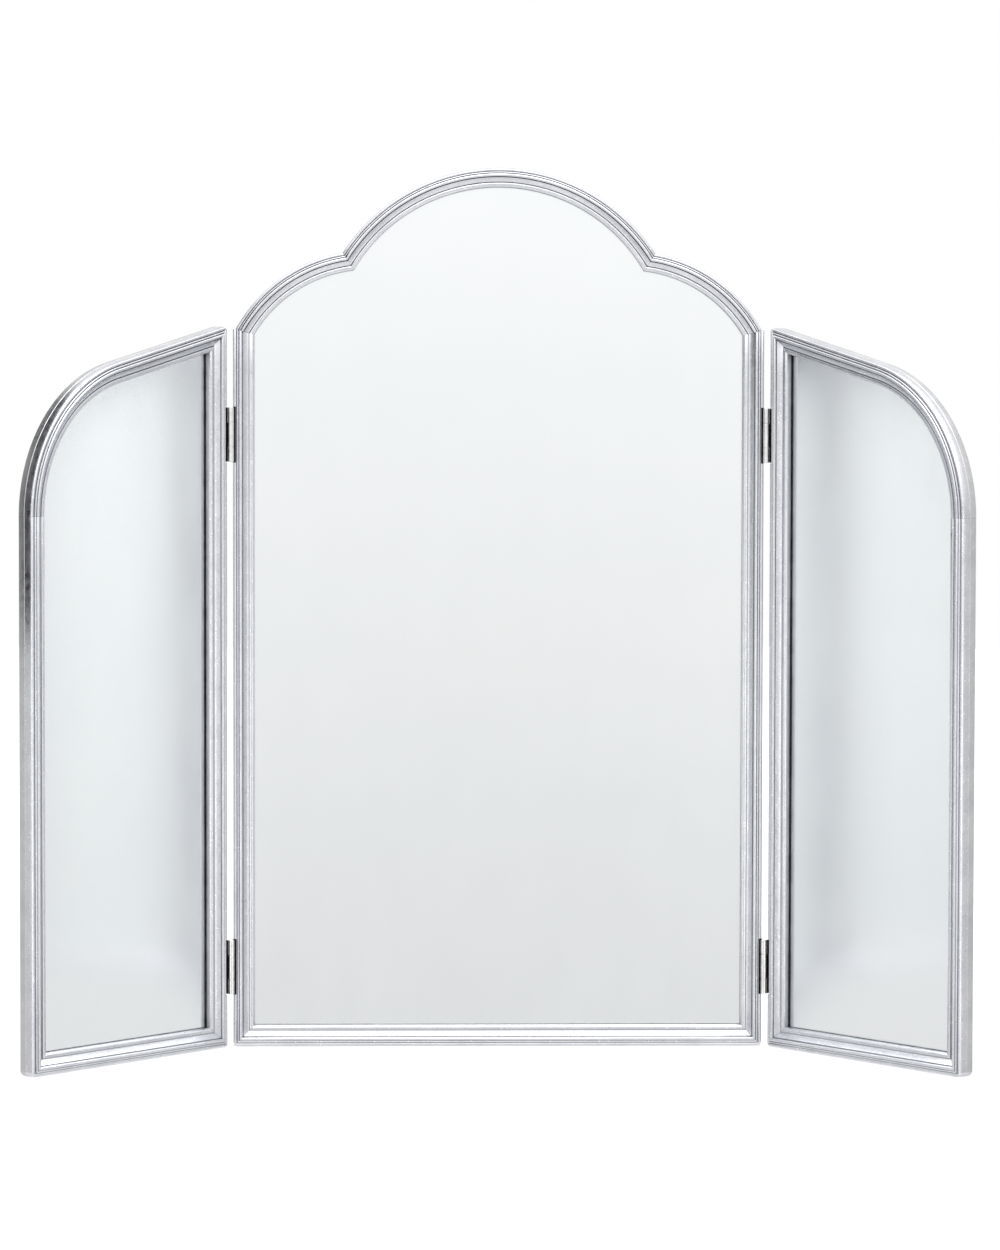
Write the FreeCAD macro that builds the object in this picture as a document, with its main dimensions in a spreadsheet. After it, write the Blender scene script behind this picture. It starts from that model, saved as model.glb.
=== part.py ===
"""Trifold vanity mirror: a scalloped centre panel with a wing hinged to each side of it.

The origin is at the middle of the centre panel's foot, on the seam between the moulding and the
rear strips. +X is to the right, +Y to the back and +Z up. A wing is drawn in a frame of its own,
whose Z axis is its hinge axis, and its Placement turns it from flat open to the rest fold.
"""
import FreeCAD, Part
import math
import os
import re
import Sketcher

SIZES = {
    # centre panel's outline
    "panel_half_width": 191.0,
    "crest_radius": 134.4,
    "crest_centre_height": 498.3,
    "shoulder_radius": 109.3,
    "shoulder_centre_out": 93.5,
    "shoulder_centre_height": 464.2,
    "shoulder_mitre_rise": 3.6,
    # wing's outline
    "wing_width": 190.4,
    "wing_top_height": 519.5,
    "wing_top_slope": 0.262,
    "wing_corner_radius": 110.5,
    "corner_cut": 3.2,
    # moulding: heights stand up from the seam, and places are shares of the width from its outer edge
    "moulding_width": 15.2,
    "arc_moulding_width": 13.4,
    "side_height": 2.6,
    "outer_bead_foot_place": 0.015,
    "outer_bead_foot_height": 5.6,
    "outer_bead_place": 0.09,
    "outer_bead_height": 7.3,
    "outer_groove_place": 0.19,
    "outer_groove_height": 6.5,
    "thin_bead_place": 0.23,
    "thin_bead_height": 7.8,
    "thin_groove_place": 0.30,
    "thin_groove_height": 7.4,
    "main_bead_low_place": 0.33,
    "main_bead_low_height": 8.4,
    "main_bead_high_place": 0.40,
    "main_bead_high_height": 8.6,
    "main_bead_foot_place": 0.45,
    "main_bead_foot_height": 7.9,
    "main_groove_place": 0.475,
    "main_groove_height": 7.1,
    "cove_place": 0.58,
    "cove_height": 5.4,
    "cove_foot_place": 0.76,
    "cove_foot_height": 4.3,
    "lip_place": 0.86,
    "lip_height": 4.6,
    "lip_edge_height": 3.0,
    # rear strips
    "strip_width": 10.0,
    "strip_thickness": 6.2,
    "strip_bevel": 0.8,
    "seam_bevel": 0.35,
    # mirror
    "glass_inset": 10.4,
    "glass_thickness": 3.0,
    # hinges
    "axis_gap": 1.0,
    "axis_forward": 9.1,
    "hinge_low": 58.0,
    "hinge_high": 441.4,
    "hinge_length": 39.0,
    "middle_knuckle": 17.6,
    "knuckle_play": 0.15,
    "barrel_radius": 2.15,
    "barrel_play": 0.25,
    "pin_radius": 1.1,
    "pin_play": 0.05,
    "leaf_thickness": 0.8,
    "leaf_depth": 10.4,
    "bead_recess_width": 2.2,
    "bead_recess_height": 5.0,
    "bead_recess_play": 0.6,
    # screws in the hinge leaves
    "leaf_screw_back": 7.2,
    "leaf_screw_out": 13.0,
    "leaf_screw_length": 9.0,
    "leaf_screw_radius": 1.1,
    "leaf_screw_head_radius": 1.9,
    "screw_play": 0.05,
    # clips over the backing boards, and their screws
    "clip_length": 14.0,
    "clip_width": 8.0,
    "clip_thickness": 0.8,
    "clip_hole_inset": 4.0,
    "clip_screw_length": 4.6,
    "clip_screw_radius": 1.1,
    "clip_screw_head_radius": 2.5,
    "clip_screw_head_height": 1.5,
    "clip_low": 120.0,
    "clip_middle": 300.0,
    "clip_high": 400.0,
    # folds at rest, from flat open
    "left_fold": 48.0,
    "right_fold": 51.0,
}

LEFT = -1
RIGHT = 1
SIDE_NAMES = {LEFT: "left", RIGHT: "right"}
HINGE_HEIGHTS = {"lower": "hinge_low", "upper": "hinge_high"}
LEFTWARD = 1
RIGHTWARD = -1
SAW_OVERRUN = 0.6
WASTE = 40
ARC_OVERRUN = 4
SMALLEST_CUT = 0.2
STUD_SIDES = 8
# how much wider than a round thing its eight-sided hole is, corner to corner, to let it through
STUD_CLEARANCE = 1 / math.cos(math.pi / STUD_SIDES)
MOULDING_TURNS = ["outer_bead_foot", "outer_bead", "outer_groove", "thin_bead", "thin_groove",
                  "main_bead_low", "main_bead_high", "main_bead_foot", "main_groove", "cove",
                  "cove_foot", "lip"]

doc = FreeCAD.newDocument("trifold_vanity_mirror")
sheet = doc.addObject("Spreadsheet::Sheet", "dims")
for row, (alias, size) in enumerate(SIZES.items(), start=1):
    sheet.set(f"A{row}", alias)
    sheet.set(f"B{row}", str(size))
    sheet.setAlias(f"B{row}", alias)
doc.recompute()

worked = doc.addObject("App::VarSet", "worked")
gauge = doc.addObject("App::VarSet", "gauge")
gauge.addProperty("App::PropertyFloat", "reading")
owners = {alias: "dims." for alias in SIZES}


# ---------------------------------------------------------------- expressions

def named(expression):
    """Point each size in an expression at the sheet, or at the set of worked-out sizes."""
    return re.sub("[a-z_]+", lambda word: owners.get(word.group(), "") + word.group(), expression)


def bind(thing, path, expression):
    thing.setExpression(path, named(expression))


def reading(expression):
    """The present value of an expression, for a sketch's first guess."""
    bind(gauge, "reading", expression)
    gauge.recompute()
    return gauge.reading


def work_out(name, expression):
    worked.addProperty("App::PropertyFloat", name)
    bind(worked, name, expression)
    owners[name] = "worked."
    doc.recompute()


def work_out_notch(place, inset):
    """Where the crest's arc meets a shoulder's arc, both drawn in from the outline by inset."""
    drop = "(crest_centre_height - shoulder_centre_height)"
    apart = f"(shoulder_centre_out^2 + {drop}^2)"
    crest = f"(crest_radius - {inset})^2"
    shoulder = f"(shoulder_radius - {inset})^2"
    work_out(f"notch_share_{place}", f"({crest} - {shoulder} + {apart}) / (2 * {apart})")
    work_out(f"notch_reach_{place}", f"sqrt({crest} / {apart} - notch_share_{place}^2)")
    work_out(f"notch_out_{place}",
             f"notch_share_{place} * shoulder_centre_out + notch_reach_{place} * {drop}")
    work_out(f"notch_height_{place}",
             f"crest_centre_height - notch_share_{place} * {drop}"
             f" + notch_reach_{place} * shoulder_centre_out")


def work_out_shoulder_foot(place, inset, side_inset):
    """The height at which a panel's straight side meets its shoulder's arc."""
    work_out(f"shoulder_foot_{place}",
             f"shoulder_centre_height + sqrt((shoulder_radius - {inset})^2"
             f" - (panel_half_width - {side_inset} - shoulder_centre_out)^2)")


work_out_notch("outer", "0")
work_out_notch("inner", "arc_moulding_width")
work_out_notch("glass", "glass_inset")
work_out_shoulder_foot("inner", "arc_moulding_width", "moulding_width")
work_out_shoulder_foot("glass", "glass_inset", "glass_inset")
work_out("crest_half_sweep",
         "asin(notch_out_inner / (crest_radius - arc_moulding_width)) / 1 deg")
work_out("shoulder_low", "asin((shoulder_foot_inner - shoulder_centre_height)"
         " / (shoulder_radius - arc_moulding_width)) / 1 deg")
work_out("shoulder_high", "acos((notch_out_inner - shoulder_centre_out)"
         " / (shoulder_radius - arc_moulding_width)) / 1 deg")
# a wing's top: its tilt, the length along it of each unit across, and its round corner's centre
work_out("wing_tilt", "atan(wing_top_slope) / 1 deg")
work_out("wing_stretch", "sqrt(1 + wing_top_slope^2)")
work_out("corner_out", "wing_width - wing_corner_radius")
work_out("corner_height",
         "wing_top_height - wing_top_slope * corner_out - wing_corner_radius * wing_stretch")
work_out("board_thickness", "strip_thickness - glass_thickness")


# ---------------------------------------------------------------- sketches

def new_body(name):
    body = doc.addObject("PartDesign::Body", name)
    body.Label = name
    return body


def new_sketch(body, plane_role, offset=("0", "0", "0"), lean=None):
    """A sketch on one of the body's origin planes, moved by offset.

    lean swings the sketch's X axis up from +X towards +Z by so many degrees.
    """
    sketch = body.newObject("Sketcher::SketchObject", body.Name + "_sketch")
    plane = [feature for feature in body.Origin.OriginFeatures if feature.Role == plane_role][0]
    sketch.AttachmentSupport = [(plane, "")]
    sketch.MapMode = "FlatFace"
    if lean is not None:
        swing = FreeCAD.Rotation(FreeCAD.Vector(0, -1, 0), reading(lean))
        sketch.AttachmentOffset = FreeCAD.Placement(FreeCAD.Vector(), swing)
        bind(sketch, "AttachmentOffset.Rotation.Angle", lean)
    for axis, distance in zip("xyz", offset):
        bind(sketch, f"AttachmentOffset.Base.{axis}", distance)
    return sketch


def constrain(sketch, kind, geometry, expression):
    """Hold a curve, or a point on it, to the value of an expression."""
    number = sketch.addConstraint(Sketcher.Constraint(kind, *geometry, reading(expression)))
    bind(sketch, f"Constraints[{number}]", expression)


def flat(across, up):
    return across, up


def spot(across, up):
    return FreeCAD.Vector(reading(across), reading(up), 0)


def arc_middle(start, end, radius, bulge):
    """The middle of the smaller arc from start to end, to the left of the way there if LEFTWARD."""
    chord = end - start
    rise = radius - math.sqrt(radius ** 2 - (chord.Length / 2) ** 2)
    leftward = FreeCAD.Vector(-chord.y, chord.x, 0).normalize()
    return (start + end) * 0.5 + leftward * rise * bulge


def draw_loop(sketch, corners, place=flat):
    """Draw a closed outline through corners.

    Each corner is (across, up), or (across, up, radius, bulge) where an arc leads to it. place turns
    a corner's across and up into the sketch's own x and y.
    """
    runs = []
    for before, corner in zip(corners[-1:] + corners[:-1], corners):
        start = spot(*place(*before[:2]))
        end = spot(*place(*corner[:2]))
        if len(corner) == 2:
            curve, forward = Part.LineSegment(start, end), True
        else:
            middle = arc_middle(spot(*before[:2]), spot(*corner[:2]), reading(corner[2]), corner[3])
            middle = spot(*place(f"{middle.x:.6f}", f"{middle.y:.6f}"))
            forward = (middle - start).cross(end - middle).z > 0
            curve = Part.Arc(start, middle, end) if forward else Part.Arc(end, middle, start)
        index = sketch.addGeometry(curve, False)
        runs.append((index, 1 if forward else 2, 2 if forward else 1))
    for (index, _, tail), (following, head, _), corner in zip(runs, runs[1:] + runs[:1], corners):
        sketch.addConstraint(Sketcher.Constraint("Coincident", index, tail, following, head))
        for kind, distance in zip(("DistanceX", "DistanceY"), place(*corner[:2])):
            constrain(sketch, kind, (index, tail), distance)
        if len(corner) == 4:
            constrain(sketch, "Radius", (index,), corner[2])


def draw_circle(sketch, across, up, radius):
    index = sketch.addGeometry(Part.Circle(spot(across, up), FreeCAD.Vector(0, 0, 1),
                                           reading(radius)), False)
    constrain(sketch, "DistanceX", (index, 3), across)
    constrain(sketch, "DistanceY", (index, 3), up)
    constrain(sketch, "Radius", (index,), radius)


def draw_stud(sketch, across, up, radius):
    """Draw a screw or its hole: a small round that recurs, given eight corners to keep it light."""
    corners = []
    for number in range(STUD_SIDES):
        turn = (number + 0.5) * 2 * math.pi / STUD_SIDES
        corners.append((f"{across} + ({radius}) * {math.cos(turn):.6f}",
                        f"{up} + ({radius}) * {math.sin(turn):.6f}"))
    draw_loop(sketch, corners)


# ---------------------------------------------------------------- features

def pad(body, sketch, length, both_ways=False, backwards=False):
    feature = body.newObject("PartDesign::Pad", body.Name + "_pad")
    feature.Profile = sketch
    bind(feature, "Length", length)
    feature.Midplane = both_ways
    feature.Reversed = backwards
    doc.recompute()
    return feature


def revolve(body, sketch, angle, axis="V_Axis", both_ways=False, backwards=False):
    feature = body.newObject("PartDesign::Revolution", body.Name + "_turn")
    feature.Profile = sketch
    feature.ReferenceAxis = (sketch, [axis])
    bind(feature, "Angle", angle)
    feature.Midplane = both_ways
    feature.Reversed = backwards
    doc.recompute()
    return feature


def pocket(body, sketch, length=None, both_ways=False, backwards=False, taper=None):
    """Cut the sketch out of the body: right through, or to a length. A cut that misses is an error."""
    before = body.Shape.Volume
    feature = body.newObject("PartDesign::Pocket", body.Name + "_cut")
    feature.Profile = sketch
    feature.Midplane = both_ways
    feature.Reversed = backwards
    if length is None:
        feature.Type = "ThroughAll"
    else:
        bind(feature, "Length", length)
    if taper is not None:
        bind(feature, "TaperAngle", taper)
    doc.recompute()
    if not before - body.Shape.Volume > SMALLEST_CUT:
        raise RuntimeError(f"{body.Label}: {feature.Name} cuts nothing away")
    return feature


def trim(body, start, end, waste):
    """Saw along the line from start to end, both (x, z), and drop what is on the waste side of it."""
    (start_x, start_z), (end_x, end_z) = start, end
    low_x = f"({start_x} - {SAW_OVERRUN} * ({end_x} - ({start_x})))"
    low_z = f"({start_z} - {SAW_OVERRUN} * ({end_z} - ({start_z})))"
    high_x = f"({end_x} + {SAW_OVERRUN} * ({end_x} - ({start_x})))"
    high_z = f"({end_z} + {SAW_OVERRUN} * ({end_z} - ({start_z})))"
    sketch = new_sketch(body, "XZ_Plane")
    draw_loop(sketch, [(low_x, low_z), (high_x, high_z),
                       (f"{high_x} + {waste[0]}", f"{high_z} + {waste[1]}"),
                       (f"{low_x} + {waste[0]}", f"{low_z} + {waste[1]}")])
    pocket(body, sketch, both_ways=True)


# ---------------------------------------------------------------- moulding and rear strips

def moulding_section(width):
    """The moulding's corners, from its outer edge in to its lip over the glass."""
    corners = [("0", "0"), ("0", "side_height")]
    for turn in MOULDING_TURNS:
        corners.append((f"{turn}_place * {width}", f"{turn}_height"))
    return corners + [(width, "lip_edge_height"), (width, "0")]


def strip_section(_):
    """A rear strip's corners, the same under any moulding: bevelled at the seam and at the back."""
    return [
        ("seam_bevel", "0"),
        ("strip_width", "0"),
        ("strip_width", "-strip_thickness"),
        ("strip_bevel", "-strip_thickness"),
        ("0", "strip_bevel - strip_thickness"),
        ("0", "-seam_bevel"),
    ]


SECTIONS = {"moulding": moulding_section, "rear_strip": strip_section}


def upright(name, section, outer, inward, seam, height):
    """A straight length that stands: its outer face at x = outer, its inner face inward of it."""
    body = new_body(name)
    sketch = new_sketch(body, "XY_Plane")
    draw_loop(sketch, SECTIONS[section]("moulding_width"),
              lambda across, up: (f"{outer} + {inward} * ({across})", f"{seam} - ({up})"))
    pad(body, sketch, height)
    return body


def level(name, section, start, length, seam="0", backwards=False):
    """A straight length that lies along X on the foot of a panel."""
    body = new_body(name)
    sketch = new_sketch(body, "YZ_Plane", ("0", "0", start))
    draw_loop(sketch, SECTIONS[section]("moulding_width"),
              lambda across, up: (f"{seam} - ({up})", across))
    pad(body, sketch, length, backwards=backwards)
    return body


def arched(name, section, centre_x, centre_z, radius, middle, sweep):
    """A length bent round an arc of the centre panel, whose middle points at so many degrees."""
    body = new_body(name)
    sketch = new_sketch(body, "XY_Plane", (centre_x, "0", centre_z), middle)
    draw_loop(sketch, SECTIONS[section]("arc_moulding_width"),
              lambda across, up: (f"{radius} - ({across})", f"-({up})"))
    revolve(body, sketch, sweep, both_ways=True)
    return body


def trim_foot(body, outer, inward):
    """Mitre the foot of an upright to the bottom rail, and take the corner's point off."""
    trim(body, (outer, "0"), (f"{outer} + {inward} * moulding_width", "moulding_width"),
         (0, -WASTE))
    trim_corner(body, outer, inward)


def trim_corner(body, outer, inward):
    """Take the point off a lower corner of a panel."""
    trim(body, (f"{outer} + {inward} * corner_cut", "0"), (outer, "corner_cut"),
         (-inward * WASTE, -WASTE))


def cut_for_hinges(body, outer, inward, seam):
    """Cut an upright for its two hinges: a recess in the outer bead, and pilot holes in the side."""
    for height in HINGE_HEIGHTS.values():
        recess = new_sketch(body, "XY_Plane", ("0", "0", height))
        draw_loop(recess, [("-1", "bead_recess_height"), ("bead_recess_width", "bead_recess_height"),
                           ("bead_recess_width", "axis_forward"), ("-1", "axis_forward")],
                  lambda across, up: (f"{outer} + {inward} * ({across})", f"{seam} - ({up})"))
        pocket(body, recess, "hinge_length + 2 * bead_recess_play", both_ways=True)
    holes = new_sketch(body, "YZ_Plane", ("0", "0", outer))
    for height in HINGE_HEIGHTS.values():
        for sign in (-1, 1):
            draw_stud(holes, f"{seam} - axis_forward + leaf_screw_back",
                      f"{height} + {sign} * leaf_screw_out", "leaf_screw_radius + screw_play")
    pocket(body, holes, "leaf_screw_length", backwards=inward == RIGHT)


def clip_screw_holes(strip, spots, seam):
    """Pilot holes for the clips' screws in the back of a strip."""
    sketch = new_sketch(strip, "XZ_Plane", ("0", "0", f"-({seam} + strip_thickness)"))
    for x, z, _ in spots:
        draw_stud(sketch, x, z, "clip_screw_radius + screw_play")
    pocket(strip, sketch, "clip_screw_length + screw_play", backwards=True)


# ---------------------------------------------------------------- places on the panels

def wing_x(side, across):
    """X in a wing's own frame of a point so far from the wing's hinge edge."""
    return f"{side} * (axis_gap + {across})"


def put_on_wing(thing, side, height="0"):
    """Turn a part of a wing from flat open to the rest fold, about the wing's hinge axis."""
    fold = f"{SIDE_NAMES[side]}_fold"
    swing = FreeCAD.Rotation(FreeCAD.Vector(0, 0, -side), reading(fold))
    thing.Placement = FreeCAD.Placement(FreeCAD.Vector(), swing)
    bind(thing, "Placement.Rotation.Angle", fold)
    put_on_axis(thing, side, height)


def put_on_axis(thing, side, height):
    for axis, distance in zip("xyz", hinge_axis(side) + (height,)):
        bind(thing, f"Placement.Base.{axis}", distance)


def hinge_axis(side):
    return f"{side} * (panel_half_width + axis_gap)", "-axis_forward"


def centre_clip_spots(member, side):
    """Where the clips sit on a member of the centre panel: x, z and the way each points, in degrees."""
    if member == "bottom":
        return [(f"{sign} * panel_half_width / 2", "strip_width / 2", "90") for sign in (-1, 1)]
    if member == "crest":
        return [("0", "crest_centre_height + crest_radius - strip_width / 2", "270")]
    if member == "stile":
        x = f"{side} * (panel_half_width - strip_width / 2)"
        return [(x, height, str(90 + 90 * side)) for height in ("clip_low", "clip_high")]
    middle = "(shoulder_low + shoulder_high) / 2 * 1 deg"
    reach = "(shoulder_radius - strip_width / 2)"
    return [(f"{side} * (shoulder_centre_out + {reach} * cos({middle}))",
             f"shoulder_centre_height + {reach} * sin({middle})",
             f"270 - {side} * (90 - (shoulder_low + shoulder_high) / 2)")]


def wing_clip_spots(member, side):
    """The same for a member of a wing, in the wing's own frame."""
    if member == "bottom":
        return [(wing_x(side, "wing_width / 2"), "strip_width / 2", "90")]
    if member == "hinge_stile":
        x = wing_x(side, "strip_width / 2")
        return [(x, height, str(90 - 90 * side)) for height in ("clip_low", "clip_high")]
    if member == "outer_stile":
        x = wing_x(side, "wing_width - strip_width / 2")
        return [(x, height, str(90 + 90 * side)) for height in ("clip_low", "clip_middle")]
    return [(wing_x(side, "corner_out"),
             "wing_top_height - wing_top_slope * corner_out - strip_width / 2 * wing_stretch",
             f"270 - {side} * wing_tilt")]


# ---------------------------------------------------------------- centre panel

def centre_bottom(section):
    body = level(f"centre_bottom_{section}", section, "-panel_half_width", "2 * panel_half_width", "0")
    for side in SIDE_NAMES:
        outer = f"{side} * panel_half_width"
        trim(body, (outer, "0"), (f"{outer} - {side} * moulding_width", "moulding_width"),
             (side * WASTE, 0))
        trim_corner(body, outer, -side)
    return body


def centre_stile(section, side):
    outer = f"{side} * panel_half_width"
    body = upright(f"centre_{SIDE_NAMES[side]}_stile_{section}", section, outer, -side, "0",
                   "shoulder_foot_inner + 2 * shoulder_mitre_rise")
    trim_foot(body, outer, -side)
    trim(body, *shoulder_mitre(side), (0, WASTE))
    return body


def centre_shoulder(section, side):
    middle = "(shoulder_low + shoulder_high) / 2"
    body = arched(f"centre_{SIDE_NAMES[side]}_shoulder_{section}", section,
                  f"{side} * shoulder_centre_out", "shoulder_centre_height", "shoulder_radius",
                  f"90 - {side} * (90 - {middle})",
                  f"shoulder_high - shoulder_low + 2 * {ARC_OVERRUN}")
    trim(body, *shoulder_mitre(side), (0, -WASTE))
    trim(body, *crest_mitre(side), (-side * WASTE, 0))
    return body


def centre_crest(section):
    body = arched(f"centre_crest_{section}", section, "0", "crest_centre_height", "crest_radius",
                  "90", f"2 * (crest_half_sweep + {ARC_OVERRUN})")
    for side in SIDE_NAMES:
        trim(body, *crest_mitre(side), (side * WASTE, -WASTE / 2))
    return body


def shoulder_mitre(side):
    """The saw line between a stile and its shoulder, from the outline inwards."""
    return ((f"{side} * panel_half_width", "shoulder_foot_inner + shoulder_mitre_rise"),
            (f"{side} * (panel_half_width - moulding_width)", "shoulder_foot_inner"))


def crest_mitre(side):
    """The saw line between the crest and a shoulder, from the outline inwards."""
    return ((f"{side} * notch_out_outer", "notch_height_outer"),
            (f"{side} * notch_out_inner", "notch_height_inner"))


def centre_pane(name, front, thickness):
    """A sheet that fills the centre panel's rebate: the mirror, or the board behind it."""
    body = new_body(name)
    sketch = new_sketch(body, "XZ_Plane", ("0", "0", f"-({front})"))
    reach = "panel_half_width - glass_inset"
    shoulder = "shoulder_radius - glass_inset"
    crest = "crest_radius - glass_inset"
    draw_loop(sketch, [
        (f"-({reach})", "glass_inset"),
        (reach, "glass_inset"),
        (reach, "shoulder_foot_glass"),
        ("notch_out_glass", "notch_height_glass", shoulder, RIGHTWARD),
        ("-notch_out_glass", "notch_height_glass", crest, RIGHTWARD),
        (f"-({reach})", "shoulder_foot_glass", shoulder, RIGHTWARD),
    ])
    pad(body, sketch, thickness, backwards=True)
    return body


# ---------------------------------------------------------------- wings

def wing_bottom(section, side):
    body = level(f"{SIDE_NAMES[side]}_wing_bottom_{section}", section, wing_x(side, "0"),
                 "wing_width", "axis_forward", backwards=side == LEFT)
    for edge, inward in (("0", side), ("wing_width", -side)):
        outer = wing_x(side, edge)
        trim(body, (outer, "0"), (f"{outer} + {inward} * moulding_width", "moulding_width"),
             (-inward * WASTE, 0))
        trim_corner(body, outer, inward)
    return body


def wing_hinge_stile(section, side):
    outer = wing_x(side, "0")
    body = upright(f"{SIDE_NAMES[side]}_wing_hinge_stile_{section}", section, outer, side,
                   "axis_forward", "wing_top_height")
    trim_foot(body, outer, side)
    trim(body, *wing_top_mitre(side), (0, WASTE))
    trim(body, *wing_top_corner(side), (-side * WASTE, WASTE))
    return body


def wing_outer_stile(section, side):
    outer = wing_x(side, "wing_width")
    body = upright(f"{SIDE_NAMES[side]}_wing_outer_stile_{section}", section, outer, -side,
                   "axis_forward", "corner_height")
    trim_foot(body, outer, -side)
    return body


def wing_top(section, side):
    """The top length: a straight slope from the hinge stile, then a round corner to the outer stile."""
    body = new_body(f"{SIDE_NAMES[side]}_wing_top_{section}")
    sketch = new_sketch(body, "XY_Plane", (wing_x(side, "corner_out"), "0", "corner_height"),
                        f"90 - {side} * wing_tilt")
    draw_loop(sketch, SECTIONS[section]("moulding_width"),
              lambda across, up: (f"wing_corner_radius - ({across})", f"axis_forward - ({up})"))
    revolve(body, sketch, "90 - wing_tilt", backwards=side == LEFT)
    pad(body, sketch, "corner_out * wing_stretch + wing_corner_radius * wing_top_slope + corner_cut",
        backwards=side == LEFT)
    trim(body, *wing_top_mitre(side), (-side * WASTE, 0))
    trim(body, *wing_top_corner(side), (-side * WASTE, WASTE))
    return body


def wing_top_mitre(side):
    """The saw line between a wing's hinge stile and its top, from the outline inwards."""
    return ((wing_x(side, "0"), "wing_top_height"),
            (wing_x(side, "moulding_width"),
             "wing_top_height - moulding_width * (wing_top_slope + wing_stretch)"))


def wing_top_corner(side):
    """The saw line that takes the point off the corner above the hinges."""
    return ((wing_x(side, "0"), "wing_top_height - corner_cut"),
            (wing_x(side, "corner_cut"), "wing_top_height - wing_top_slope * corner_cut"))


def wing_pane(name, side, front, thickness):
    """A sheet that fills a wing's rebate: the mirror, or the board behind it."""
    body = new_body(name)
    sketch = new_sketch(body, "XZ_Plane", ("0", "0", f"-({front})"))
    radius = "(wing_corner_radius - glass_inset)"
    draw_loop(sketch, [
        ("glass_inset", "glass_inset"),
        ("wing_width - glass_inset", "glass_inset"),
        ("wing_width - glass_inset", "corner_height"),
        (f"corner_out + {radius} * wing_top_slope / wing_stretch",
         f"corner_height + {radius} / wing_stretch", radius, RIGHTWARD),
        ("glass_inset", "wing_top_height - glass_inset * (wing_top_slope + wing_stretch)"),
    ], lambda across, up: (wing_x(side, f"({across})"), up))
    pad(body, sketch, thickness, backwards=True)
    return body


# ---------------------------------------------------------------- hinges

def hinge_leaf(name, toward, gaps):
    """A butt hinge's leaf in the hinge's own frame, whose Z axis is the pin's.

    toward is the way from the pin to the wood that the leaf is screwed to. gaps are the stretches of
    its height, as (low, high), that the other leaf's knuckles take.
    """
    body = new_body(name)
    barrel = new_sketch(body, "XY_Plane")
    draw_circle(barrel, "0", "0", "barrel_radius")
    pad(body, barrel, "hinge_length", both_ways=True)
    plate = new_sketch(body, "XY_Plane")
    near, far = f"{toward} * (axis_gap - leaf_thickness)", f"{toward} * axis_gap"
    draw_loop(plate, [(near, "0"), (far, "0"), (far, "leaf_depth"), (near, "leaf_depth")])
    pad(body, plate, "hinge_length", both_ways=True)
    bore = new_sketch(body, "XY_Plane")
    draw_stud(bore, "0", "0", f"(pin_radius + pin_play) * {STUD_CLEARANCE:.4f}")
    pocket(body, bore, both_ways=True)
    knuckles = new_sketch(body, "XZ_Plane", ("0", "0", "-(barrel_radius + barrel_play)"))
    for low, high in gaps:
        draw_loop(knuckles, [("-2 * barrel_radius", low), ("2 * barrel_radius", low),
                             ("2 * barrel_radius", high), ("-2 * barrel_radius", high)])
    pocket(body, knuckles, "3 * barrel_radius", backwards=True)
    holes = new_sketch(body, "YZ_Plane", ("0", "0", near))
    for sign in (-1, 1):
        draw_stud(holes, "leaf_screw_back", f"{sign} * leaf_screw_out", "leaf_screw_head_radius")
    pocket(body, holes, "leaf_thickness", backwards=toward == RIGHT,
           taper="-atan((leaf_screw_head_radius - leaf_screw_radius - screw_play) / leaf_thickness)")
    return body


def hinge_pin(name):
    pin = doc.addObject("Part::Cylinder", name)
    pin.Label = name
    bind(pin, "Radius", "pin_radius")
    bind(pin, "Height", "hinge_length")
    return pin


# ---------------------------------------------------------------- screws and clips

def hinge_screw():
    """A countersunk wood screw along +X, with its head's face at the origin."""
    body = new_body("hinge_screw")
    head = new_sketch(body, "YZ_Plane")
    draw_stud(head, "0", "0", "leaf_screw_head_radius - screw_play")
    countersink = pad(body, head, "leaf_thickness")
    bind(countersink, "TaperAngle",
         "-atan((leaf_screw_head_radius - screw_play - leaf_screw_radius) / leaf_thickness)")
    shank = new_sketch(body, "YZ_Plane")
    draw_stud(shank, "0", "0", "leaf_screw_radius")
    pad(body, shank, "leaf_screw_length")
    return body


def clip_screw():
    """A pan-head screw that points to the front, with the underside of its head at the origin."""
    body = new_body("clip_screw")
    head = new_sketch(body, "XZ_Plane")
    draw_stud(head, "0", "0", "clip_screw_head_radius")
    pad(body, head, "clip_screw_head_height", backwards=True)
    shank = new_sketch(body, "XZ_Plane")
    draw_stud(shank, "0", "0", "clip_screw_radius")
    pad(body, shank, "clip_thickness + clip_screw_length")
    return body


def clip():
    """A flat clip that lies on the back of a strip. Its hole is at the origin and it points to +X."""
    body = new_body("clip")
    plate = new_sketch(body, "XZ_Plane")
    tip = "clip_length - clip_hole_inset"
    shoulder = f"{tip} - clip_width / 4"
    draw_loop(plate, [("-clip_hole_inset", "-clip_width / 2"), (shoulder, "-clip_width / 2"),
                      (tip, "-clip_width / 4"), (tip, "clip_width / 4"),
                      (shoulder, "clip_width / 2"), ("-clip_hole_inset", "clip_width / 2")])
    pad(body, plate, "clip_thickness", backwards=True)
    hole = new_sketch(body, "XZ_Plane")
    draw_stud(hole, "0", "0", "clip_screw_radius + 2 * screw_play")
    pocket(body, hole, both_ways=True)
    return body


def copies(name, template, places):
    """One node of separate like pieces: the template's shape at each (x, y, z) and turn."""
    node = doc.addObject("Part::Feature", name)
    node.Label = name
    pieces = []
    for base, turn in places:
        piece = template.Shape.copy()
        piece.Placement = FreeCAD.Placement(FreeCAD.Vector(*map(reading, base)), turn)
        pieces.append(piece)
    node.Shape = Part.makeCompound(pieces)
    return node


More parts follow.
